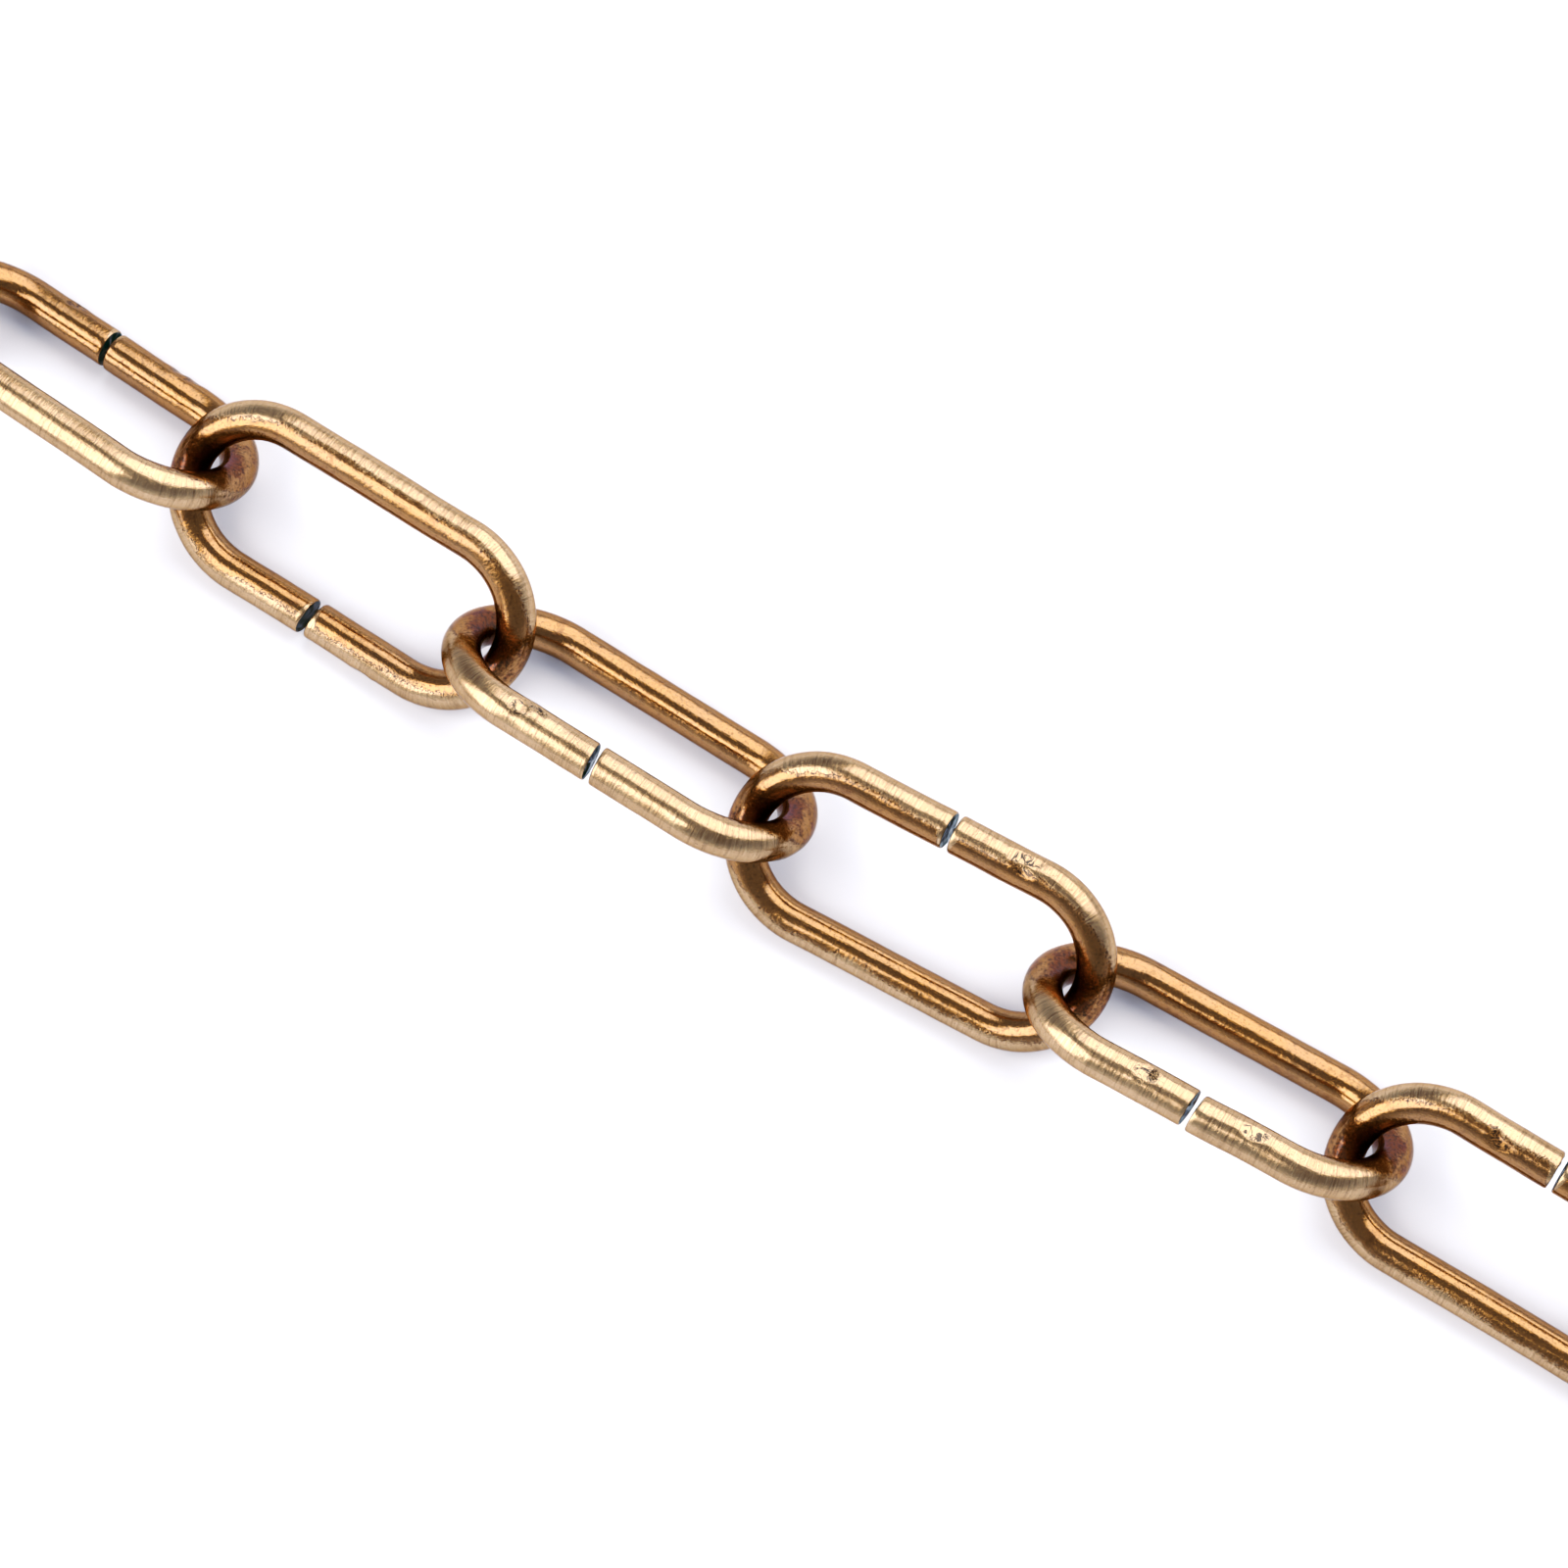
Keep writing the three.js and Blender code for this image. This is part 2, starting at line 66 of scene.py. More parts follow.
# One row for each link, from the T-bar end: heading and lean as the CAD lays it,
# the side bar that is cut (+1 left, -1 right), how wide the cut is open, how far
# along the bar it is, and how far the brushing reaches round the wire (degrees
# from the outside of the link, on the left bar and the right bar).
LINKS = [
    (120, -42, 1, 0.45, 0.0, 78, 92),
    (90, 42, -1, 0.40, 0.1, 85, 70),
    (60, -42, 1, 0.50, -0.1, 74, 84),
    (30, 42, 1, 0.45, 0.1, 88, 76),
    (-3, -43, 1, 0.42, -0.34, 62, 112),
    (-1, 41, -1, 0.54, -0.40, 62, 100),
    (-1, -44, -1, 0.48, 0.02, 40, 118),
    (3, 41, 1, 0.50, 0.05, 72, 90),
    (2, -43, -1, 0.50, 0.11, 40, 120),
    (0, 41, 1, 0.45, -0.07, 58, 90),
    (30, -42, -1, 0.45, 0.1, 80, 86),
    (60, 42, -1, 0.42, -0.1, 72, 90),
    (90, -42, 1, 0.48, 0.0, 88, 74),
    (120, 42, -1, 0.45, 0.1, 76, 88),
]
T_BAR_RING = (320, 20, -56)     # heading, pitch, lean
T_BAR_END = (340, 4, 0)
CLASP_RING = (145, 14, -45)
CLASP = (180, 0, 0)
SWIVEL_LEAN = 35

# --- camera -----------------------------------------------------------------

CAMERA_AT = (42.03, -61.197, 266.72)
CAMERA_LOOKS_AT = (-0.407, 6.963, 3.6)
CAMERA_LENS = 145.26

# --- helpers: placing -------------------------------------------------------


def turn(heading, pitch, lean):
    """Rotation of a piece laid with this heading, nose-down pitch and lean."""
    return (
        Matrix.Rotation(math.radians(heading), 4, "Z")
        @ Matrix.Rotation(math.radians(pitch), 4, "Y")
        @ Matrix.Rotation(math.radians(lean), 4, "X")
    )


def middle(node):
    """Middle of a CAD node's box, in mm."""
    lo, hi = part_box(node)
    return (lo + hi) / 2 / MM


def placed(origin, heading, pitch, lean):
    return Matrix.Translation(origin) @ turn(heading, pitch, lean)


def smoothstep(low, high, x):
    t = np.clip((np.asarray(x, float) - low) / (high - low), 0, 1)
    return t * t * (3 - 2 * t)


def wobble(x, seed, size=1.0):
    """Smooth one-dimensional noise, about -1 to 1."""
    flat = np.ravel(x)
    found = [noise.noise(Vector((v / size, seed * 7.31, 3.7))) for v in flat]
    return np.reshape(found, np.shape(x)) * 1.8


def wobble3(points, seed, size=1.0):
    """Smooth three-dimensional noise at points (n, 3)."""
    away = Vector((seed * 5.17, seed * 2.3, seed * 9.1))
    return np.array([noise.noise(Vector(p) / size + away) for p in points]) * 1.8


# --- helpers: meshes --------------------------------------------------------


def make_piece(name, points, faces, matrix, body, nodes, slot, layers):
    """A piece from points in mm in its own frame. layers are named point attributes."""
    world = np.array(matrix, float)
    placed_points = np.asarray(points, float) @ world[:3, :3].T + world[:3, 3]
    mesh = bpy.data.meshes.new(name)
    mesh.from_pydata((placed_points * MM).tolist(), [], faces)
    mesh.validate()
    mesh.polygons.foreach_set("use_smooth", [True] * len(mesh.polygons))
    for layer, values in layers.items():
        values = np.asarray(values, np.float32)
        kind = "FLOAT_VECTOR" if values.ndim == 2 else "FLOAT"
        attribute = mesh.attributes.new(layer, kind, "POINT")
        field = "vector" if values.ndim == 2 else "value"
        attribute.data.foreach_set(field, values.ravel())
    mesh.update()
    piece = bpy.data.objects.new(name, mesh)
    bpy.context.scene.collection.objects.link(piece)
    mesh.materials.append(MATERIALS[slot])
    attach(piece, body)
    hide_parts(*nodes)
    return piece


def tube_faces(sections, sides, closed=False):
    faces = []
    for i in range(sections if closed else sections - 1):
        a = i * sides
        b = ((i + 1) % sections) * sides
        for k in range(sides):
            n = (k + 1) % sides
            faces.append((a + k, b + k, b + n, a + n))
    return faces


# --- wire bent in a plane: links and jump rings -----------------------------

# Rings of a cut end: share of the wire's radius, how far out, and how much of
# the metal there is cut face.
CAP_RINGS = [
    (1.0, 0.0, 0.0),
    (0.985, 0.05, 0.0),
    (0.955, 0.085, 0.25),
    (0.9, 0.105, 1.0),
    (0.8, 0.11, 1.0),
    (0.62, 0.11, 1.0),
    (0.38, 0.11, 1.0),
]
CAP_ROUGH = 0.045           # relief of the sheared face
CAP_ROUGH_INSIDE = 0.92     # share of the radius within which it is rough
CAP_SPOTS = 2.2             # spread of the roughness over the face
SLANT_REACH = 0.9           # how far back from an end its slant is felt
WIRE_UNEVEN = 0.006
WIRE_UNEVEN_SPAN = 1.3
PINCH_RIM = 0.35            # height of the rim round a pinch, as a share of its depth
PINCH_RIM_AT = 1.7
PINCH_RIM_SPREAD = 0.25


def mark_reach(s, around, mark, wire):
    """Squared distance from the middle of a pinch, in units of the pinch's own size."""
    at, angle, long, wide, _, twist = mark
    ds = s - at
    da = (np.mod(around - angle + math.pi, 2 * math.pi) - math.pi) * wire / 2
    u = ds * math.cos(twist) + da * math.sin(twist)
    v = -ds * math.sin(twist) + da * math.cos(twist)
    return (u / long) ** 2 + (v / wide) ** 2


def bent_wire(path, length, wire, sides, steps, seed, slant, marks, wear, sheared=True):
    """Round wire along path(s) -> (centre, outward) in the XY plane, with two cut faces.

    marks are pinches (s, angle, length, width, depth, twist); wear(s, angle) is how much
    metal is gone there. Returns points, faces and, for each point, s, angle, radius and
    cut face.
    """
    angles = np.linspace(0, 2 * math.pi, sides, endpoint=False)
    sections = np.asarray(steps, float)
    s_grid, a_grid = np.meshgrid(sections, angles, indexing="ij")
    radius = np.full_like(s_grid, wire / 2 - WIRE_SHY)
    radius += WIRE_UNEVEN * wobble(s_grid + 3 * np.cos(a_grid), seed, WIRE_UNEVEN_SPAN)
    radius -= wear(s_grid, a_grid)
    for mark in marks:
        depth = mark[4]
        reach = mark_reach(s_grid, a_grid, mark, wire)
        from_rim = np.sqrt(reach) - PINCH_RIM_AT
        radius -= depth * np.exp(-reach)
        radius += PINCH_RIM * depth * np.exp(-(from_rim**2) / PINCH_RIM_SPREAD)
    centres, outwards = [], []
    for s in sections:
        centre, outward = path(s)
        centres.append(centre)
        outwards.append(outward)
    centres = np.array(centres)
    outwards = np.array(outwards)
    tangents = np.stack([-outwards[:, 1], outwards[:, 0], np.zeros(len(sections))], 1)
    up = np.array([0.0, 0.0, 1.0])

    def ring(index, radii, along=0.0):
        offset = np.cos(angles)[:, None] * outwards[index] + np.sin(angles)[:, None] * up
        along = np.broadcast_to(along, angles.shape)[:, None] * tangents[index]
        return centres[index] + offset * np.broadcast_to(radii, angles.shape)[:, None] + along

    points = [ring(i, radius[i]) for i in range(len(sections))]
    s_of = [np.full(sides, s) for s in sections]
    a_of = [angles] * len(sections)
    r_of = [radius[i] for i in range(len(sections))]
    cut_of = [np.zeros(sides)] * len(sections)
    faces = tube_faces(len(sections), sides)
    count = len(sections) * sides
    # The whole end leans a little, because the cutters are never quite square.
    for end, sign in ((0, -1), (len(sections) - 1, 1)):
        tilt = math.tan(math.radians(slant)) * np.cos(angles - seed * 1.7)
        for i in range(len(sections)):
            near = abs(sections[i] - sections[end])
            if near < SLANT_REACH:
                shift = tilt * r_of[i] * (1 - near / SLANT_REACH)
                points[i] = points[i] + shift[:, None] * tangents[i]
        previous = end * sides
        flip = sign > 0
        for share, out, cut in CAP_RINGS[1:]:
            along = sign * out + tilt * radius[end] * share
            if sheared and share < CAP_ROUGH_INSIDE:
                spread = share * CAP_SPOTS
                spots = np.stack(
                    [np.cos(angles) * spread, np.sin(angles) * spread, angles * 0 + end], 1
                )
                rough = wobble3(spots, seed + sign, 0.5)
                step = smoothstep(-0.15, 0.15, np.cos(angles - seed) * share)
                along = along - sign * (CAP_ROUGH * (0.8 + rough) + CAP_ROUGH * step)
            points.append(ring(end, radius[end] * share, along))
            s_of.append(np.full(sides, sections[end] + sign * out))
            a_of.append(angles)
            r_of.append(radius[end] * share)
            cut_of.append(np.full(sides, cut))
            for k in range(sides):
                n = (k + 1) % sides
                quad = (previous + k, previous + n, count + n, count + k)
                faces.append(quad[::-1] if flip else quad)
            previous = count
            count += sides
        hub = centres[end] + tangents[end] * (sign * (CAP_RINGS[-1][1] - CAP_ROUGH))
        points.append(hub[None])
        s_of.append(np.array([sections[end]]))
        a_of.append(np.zeros(1))
        r_of.append(np.zeros(1))
        cut_of.append(np.ones(1))
        for k in range(sides):
            n = (k + 1) % sides
            tri = (previous + k, previous + n, count)
            faces.append(tri[::-1] if flip else tri)
        count += 1
    flat = np.concatenate
    return flat(points), faces, flat(s_of), flat(a_of), flat(r_of), flat(cut_of)


KINK = 0.035                # most that a bend's shoulder stands out
KINK_SPAN = 0.9
BAR_WAVE = 0.02
BAR_WAVE_SPAN = 5.0
END_MISS = 0.06             # most that the two ends miss each other by
END_MISS_SPAN = 2.6


def link_path(cut_open, cut_at, seed):
    """Centre line of a link, anticlockwise from one cut face to the other. The cut is on +Y."""
    half, radius = LINK_HALF_STRAIGHT, LINK_RADIUS
    first = half - cut_open / 2 + cut_at
    last = half - cut_open / 2 - cut_at
    bow = math.pi * radius
    length = first + last + 2 * half + 2 * bow
    bends = [first, first + bow, first + bow + 2 * half, first + 2 * bow + 2 * half]
    spread = random.Random(seed)
    kinks = [spread.uniform(0.0, KINK) for _ in bends]
    miss = spread.uniform(-END_MISS, END_MISS)

    def path(s):
        if s < bends[0]:
            centre = (-cut_open / 2 + cut_at - s, radius)
            angle = math.pi / 2
        elif s < bends[1]:
            angle = math.pi / 2 + (s - bends[0]) / radius
            centre = (-half + radius * math.cos(angle), radius * math.sin(angle))
        elif s < bends[2]:
            centre = (-half + s - bends[1], -radius)
            angle = 1.5 * math.pi
        elif s < bends[3]:
            angle = 1.5 * math.pi + (s - bends[2]) / radius
            centre = (half + radius * math.cos(angle), radius * math.sin(angle))
        else:
            centre = (half - (s - bends[3]), radius)
            angle = math.pi / 2
        outward = np.array([math.cos(angle), math.sin(angle), 0.0])
        # A slight shoulder where each bend starts, and bars that aren't quite straight.
        push = sum(k * math.exp(-(((s - b) / KINK_SPAN) ** 2)) for k, b in zip(kinks, bends))
        on_bar = max(0.0, 1 - 3 * abs(math.cos(angle)))
        push += BAR_WAVE * on_bar * wobble(s, seed, BAR_WAVE_SPAN)
        centre = np.array([centre[0], centre[1], 0.0]) + outward * push
        centre[2] += miss * smoothstep(END_MISS_SPAN, 0.0, s)
        return centre, outward

    return path, length, bends


STEP_CUT_BAR = 0.16         # spacing of the wire's rings
STEP_BOW = 0.26
STEP_FAR_BAR = 0.36


def link_steps(length, bends):
    stops = [0.0]
    s = 0.0
    while s < length - 1e-6:
        step = STEP_CUT_BAR
        if bends[0] <= s < bends[1] or bends[2] <= s < bends[3]:
            step = STEP_BOW
        elif bends[1] <= s < bends[2]:
            step = STEP_FAR_BAR
        s = min(length, s + step)
        stops.append(s)
    return stops


def from_outside(angle):
    """How far round the wire a point is from the outside of the link, 0 to pi."""
    return np.abs(np.mod(angle + math.pi, 2 * math.pi) - math.pi)


def wire_space(s, angle, radius, seed):
    """Place along the wire and across it, for the material. Each piece has its own stretch."""
    across = np.cos(angle) * radius
    up = np.sin(angle) * radius + 5.3 * seed
    return np.stack([s + 61.7 * seed, across, up], 1)


def finish(wire, brushed, patina_and_shade, crease=None, cut_face=None):
    """The point attributes that the brass material reads."""
    none = np.zeros(len(wire))
    return {
        "wire": wire,
        "brushed": brushed,
        "patina_and_shade": patina_and_shade,
        "crease": none if crease is None else crease,
        "cut_face": none if cut_face is None else cut_face,
    }


# Pinches left by pliers on the cut bar, beside each wire end.
NO_PINCH = 0.25             # chance that an end has none
PINCH_FROM_CUT = (2.1, 3.3)
PINCH_AROUND = (0.5, 1.5)
PINCH_COUNTS = (2, 3, 4)
PINCH_SCATTER_ALONG = 0.5
PINCH_SCATTER_AROUND = 0.35
PINCH_LENGTH = (0.3, 0.55)
PINCH_WIDTH = (0.16, 0.24)
PINCH_DEPTH = (0.03, 0.055)
PINCH_TWIST = (-0.7, 0.9)
# Flats left by pliers on the outside of a bow.
FLAT_CHANCE = 0.7
FLAT_FROM_TIP = 1.9
FLAT_AROUND = (-0.6, 0.1)
FLAT_SIZE = (0.5, 0.45, 0.05, 0.4)      # length, width, depth, twist


def link_marks(spread, length, tips):
    marks = []
    for side, base in ((1, 0.0), (-1, length)):
        if spread.random() < NO_PINCH:
            continue
        at = base + side * spread.uniform(*PINCH_FROM_CUT)
        angle = spread.uniform(*PINCH_AROUND)
        for _ in range(spread.choice(PINCH_COUNTS)):
            marks.append(
                (
                    at + spread.uniform(-PINCH_SCATTER_ALONG, PINCH_SCATTER_ALONG),
                    angle + spread.uniform(-PINCH_SCATTER_AROUND, PINCH_SCATTER_AROUND),
                    spread.uniform(*PINCH_LENGTH),
                    spread.uniform(*PINCH_WIDTH),
                    spread.uniform(*PINCH_DEPTH),
                    spread.uniform(*PINCH_TWIST),
                )
            )
    for tip in tips:
        if spread.random() < FLAT_CHANCE:
            at = tip + spread.choice((-FLAT_FROM_TIP, FLAT_FROM_TIP))
            marks.append((at, spread.uniform(*FLAT_AROUND), *FLAT_SIZE))
    return marks


LINK_SIDES = 40
BOW_WEAR = 0.05
BOW_WEAR_SPAN = 1.5
BOW_WEAR_ROUND = 0.75
CUT_SLANT = (3, 8)          # degrees
BOW_SHADE_SPAN = 2.2        # reach along a bow of its darkening: patina inside, painted shade outside
BOW_UNBRUSHED = 1.25        # how far the brushing draws back at a bow, radians
BRUSH_RAGGED = 0.14
BRUSH_RAGGED_SPAN = 2.4
CUT_RIM = 0.14              # width of the bright rim at a cut
CUT_RIM_BRIGHT = 1.2
# Darkening round a bow: painted shade over its outside (this value), dark patina on its inside (the
# next).
BOW_PAINTED_SHADE = 0.62
TARNISH_INSIDE = 0.9
BRUSH_EDGE = 1.1            # steepness of the brushing's edge


def build_link(row):
    heading, lean, cut, cut_open, cut_at, reach_left, reach_right = LINKS[row]
    seed = row + 1
    name = f"link_{row + 1:02d}"
    spread = random.Random(100 + seed)
    # The CAD turns a link half round when its cut is on the right.
    along = cut_at if cut > 0 else -cut_at
    path, length, bends = link_path(cut_open, along, seed)
    steps = link_steps(length, bends)
    tips = [(bends[0] + bends[1]) / 2, (bends[2] + bends[3]) / 2]

    def wear(s, angle):
        round_to = (np.mod(angle, 2 * math.pi) - math.pi) / BOW_WEAR_ROUND
        inside = np.exp(-(round_to**2))
        return sum(
            BOW_WEAR * inside * np.exp(-(((s - tip) / BOW_WEAR_SPAN) ** 2)) for tip in tips
        )

    marks = link_marks(spread, length, tips)
    slant = spread.uniform(*CUT_SLANT)
    points, faces, s, angle, radius, cut_mask = bent_wire(
        path, length, LINK_WIRE, LINK_SIDES, steps, seed, slant, marks, wear
    )

    # Where the finish has been brushed through, and where it is dark: patina inside the bows, painted
    # shade over their outsides.
    off_outside = from_outside(angle)
    reach_cut, reach_far = (reach_left, reach_right) if cut > 0 else (reach_right, reach_left)
    to_far = smoothstep(bends[0], bends[1], s) * (1 - smoothstep(bends[2], bends[3], s))
    reach = np.radians(reach_cut * (1 - to_far) + reach_far * to_far)
    upper_edge = np.where(np.sin(angle) > 0, 1, -0.7)
    reach = reach + BRUSH_RAGGED * wobble(s, seed + 40, BRUSH_RAGGED_SPAN) * upper_edge
    near_tip = sum(np.exp(-(((s - tip) / BOW_SHADE_SPAN) ** 2)) for tip in tips)
    reach = reach - BOW_UNBRUSHED * near_tip
    brushed = (reach - off_outside) * BRUSH_EDGE
    from_cut = np.minimum(s, length - s)
    brushed = brushed + CUT_RIM_BRIGHT * np.exp(-((from_cut / CUT_RIM) ** 2))
    inner = smoothstep(0.8, 2.4, off_outside)
    # Dark patina in the bows' hollows, plus painted shade laid over the outsides of the bows.
    patina_and_shade = near_tip * (BOW_PAINTED_SHADE + TARNISH_INSIDE * inner)
    creases = np.zeros_like(s)
    for mark in marks:
        creases = np.maximum(creases, np.exp(-mark_reach(s, angle, mark, LINK_WIRE)))
    heading = heading + (0 if cut > 0 else 180)
    lean = lean if cut > 0 else -lean
    return make_piece(
        f"{name}_wire",
        points,
        faces,
        placed(middle(name), heading, 0, lean),
        name,
        [name],
        BRASS,
        finish(wire_space(s, angle, radius, seed), brushed, patina_and_shade, creases, cut_mask),
    )


RING_SIDES = 28
RING_STEPS = 97
RING_SLANT = 3
RING_BRUSHED = 1.3          # reach of the brushing round the wire, radians


def build_ring(name, heading, pitch, lean, seed):
    gap = RING_GAP / RING_RADIUS
    length = (2 * math.pi - gap) * RING_RADIUS

    def path(s):
        angle = math.pi / 2 + gap / 2 + s / RING_RADIUS
        outward = np.array([math.cos(angle), math.sin(angle), 0.0])
        return outward * RING_RADIUS, outward

    def no_wear(s, angle):
        return 0 * s

    steps = np.linspace(0, length, RING_STEPS)
    points, faces, s, angle, radius, cut_mask = bent_wire(
        path, length, RING_WIRE, RING_SIDES, steps, seed, RING_SLANT, [], no_wear, sheared=False
    )
    off_outside = from_outside(angle)
    brushed = (RING_BRUSHED + 0.2 * wobble(s, seed, 2.0) - off_outside) * BRUSH_EDGE
    patina_and_shade = smoothstep(1.5, 3.0, off_outside) * (0.5 + 0.4 * wobble(s, seed + 9, 3.0))
    wire = wire_space(s, angle, radius, seed)
    return make_piece(
        f"{name}_wire",
        points,
        faces,
        placed(middle(name), heading, pitch, lean),
        name,
        [name],
        BRASS,
        finish(wire, brushed, np.clip(patina_and_shade, 0, 1), cut_face=cut_mask),
    )


# --- materials --------------------------------------------------------------


class Nodes:
    """Short names for building a shader."""

    def __init__(self, name):
        self.material = bpy.data.materials.new(name)
        self.material.use_nodes = True
        self.tree = self.material.node_tree
        self.tree.nodes.clear()

    def add(self, kind, settings=None, **inputs):
        node = self.tree.nodes.new(kind)
        for key, value in (settings or {}).items():
            setattr(node, key, value)
        for key, value in inputs.items():
            self.put(node.inputs[key.replace("_", " ")], value)
        return node

    def put(self, socket, value):
        if isinstance(value, bpy.types.NodeSocket):
            self.tree.links.new(value, socket)
        else:
            socket.default_value = value

    def attribute(self, name, output="Fac"):
        return self.add("ShaderNodeAttribute", {"attribute_name": name}).outputs[output]

    def math(self, operation, a, b=0.0, c=0.0, clamp=False):
        node = self.add("ShaderNodeMath", {"operation": operation, "use_clamp": clamp})
        for socket, value in zip(node.inputs, (a, b, c)):
            self.put(socket, value)
        return node.outputs[0]

    def scaled(self, vector, scale):
        node = self.add("ShaderNodeVectorMath", {"operation": "MULTIPLY"})
        self.put(node.inputs[0], vector)
        node.inputs[1].default_value = scale
        return node.outputs[0]

    def noise(self, vector, scale, detail=2.0, rough=0.5, distortion=0.0):
        node = self.add("ShaderNodeTexNoise")
        self.put(node.inputs["Vector"], vector)
        node.inputs["Scale"].default_value = scale
        node.inputs["Detail"].default_value = detail
        node.inputs["Roughness"].default_value = rough
        node.inputs["Distortion"].default_value = distortion
        return node.outputs["Fac"]

    def band(self, value, low, high, to_low=0.0, to_high=1.0):
        node = self.add("ShaderNodeMapRange", {"interpolation_type": "SMOOTHSTEP"})
        self.put(node.inputs["Value"], value)
        for key, number in (
            ("From Min", low),
            ("From Max", high),
            ("To Min", to_low),
            ("To Max", to_high),
        ):
            node.inputs[key].default_value = number
        return node.outputs["Result"]

    def mix(self, factor, a, b):
        node = self.add("ShaderNodeMix", {"data_type": "RGBA"})
        self.put(node.inputs["Factor"], factor)
        self.put(node.inputs[6], a)
        self.put(node.inputs[7], b)
        return node.outputs[2]

    def blend(self, factor, a, b):
        node = self.add("ShaderNodeMix", {"data_type": "FLOAT"})
        self.put(node.inputs["Factor"], factor)
        self.put(node.inputs[2], a)
        self.put(node.inputs[3], b)
        return node.outputs[0]

    def bump(self, height, distance, strength):
        node = self.add("ShaderNodeBump")
        node.inputs["Strength"].default_value = strength
        node.inputs["Distance"].default_value = distance * MM
        self.put(node.inputs["Height"], height)
        return node.outputs[0]

    def finished(self, shader):
        output = self.add("ShaderNodeOutputMaterial")
        self.put(output.inputs["Surface"], shader.outputs[0])
        return self.material


def rgb(r, g, b):
    """An sRGB colour, 0 to 255, as linear RGBA."""

    def linear(value):
        value /= 255
        return value / 12.92 if value <= 0.04045 else ((value + 0.055) / 1.055) ** 2.4

    return (linear(r), linear(g), linear(b), 1.0)


BRONZE = (rgb(153, 112, 65), rgb(148, 111, 70))
BRONZE_PATCH = rgb(112, 72, 38)
BRONZE_GRAIN = rgb(96, 60, 30)
BRONZE_SCRATCH = rgb(108, 70, 38)
GOLD = (rgb(182, 151, 112), rgb(168, 136, 97))
GOLD_LINE = rgb(112, 82, 50)
GOLD_FINE_LINE = rgb(208, 184, 144)
EDGE_SPECK = rgb(70, 42, 20)
LOOSE_SPECK = rgb(84, 50, 26)
# Dark brown of the patina in hollows, also used as painted shade over the outsides of the link bows.
PATINA_AND_SHADE = (rgb(106, 54, 14), rgb(54, 30, 8))
CRACK = rgb(40, 26, 18)
CUT_TEAL = (rgb(0, 72, 74), rgb(14, 76, 70))
SPECULAR_TINT = rgb(200, 168, 130)
ROUGH_BRONZE = 0.13
ROUGH_BRUSHED = 0.22
COAT_WEIGHT = 0.5
COAT_ROUGH = 0.12
COAT_IOR = 1.6
BRASS_BUMP = 0.012          # mm
BRASS_BUMP_STRENGTH = 0.55
# How far each mark stands up, or is sunk, as a share of the bump.
RELIEF = {
    "lines": 0.7,
    "fine_lines": 0.35,
    "grain": 1.1,
    "dents": 2.6,
    "scratches": 0.6,
    "edge_specks": -0.8,
    "loose_specks": -0.6,
    "crack": -4.0,
}
# Noise scales, per mm: along the wire, then across it.
LINES_SCALE = (13.0, 0.55, 0.55)
FINE_LINES_SCALE = (21.0, 1.3, 1.3)
SCRATCHES_SCALE = (0.55, 15.0, 15.0)


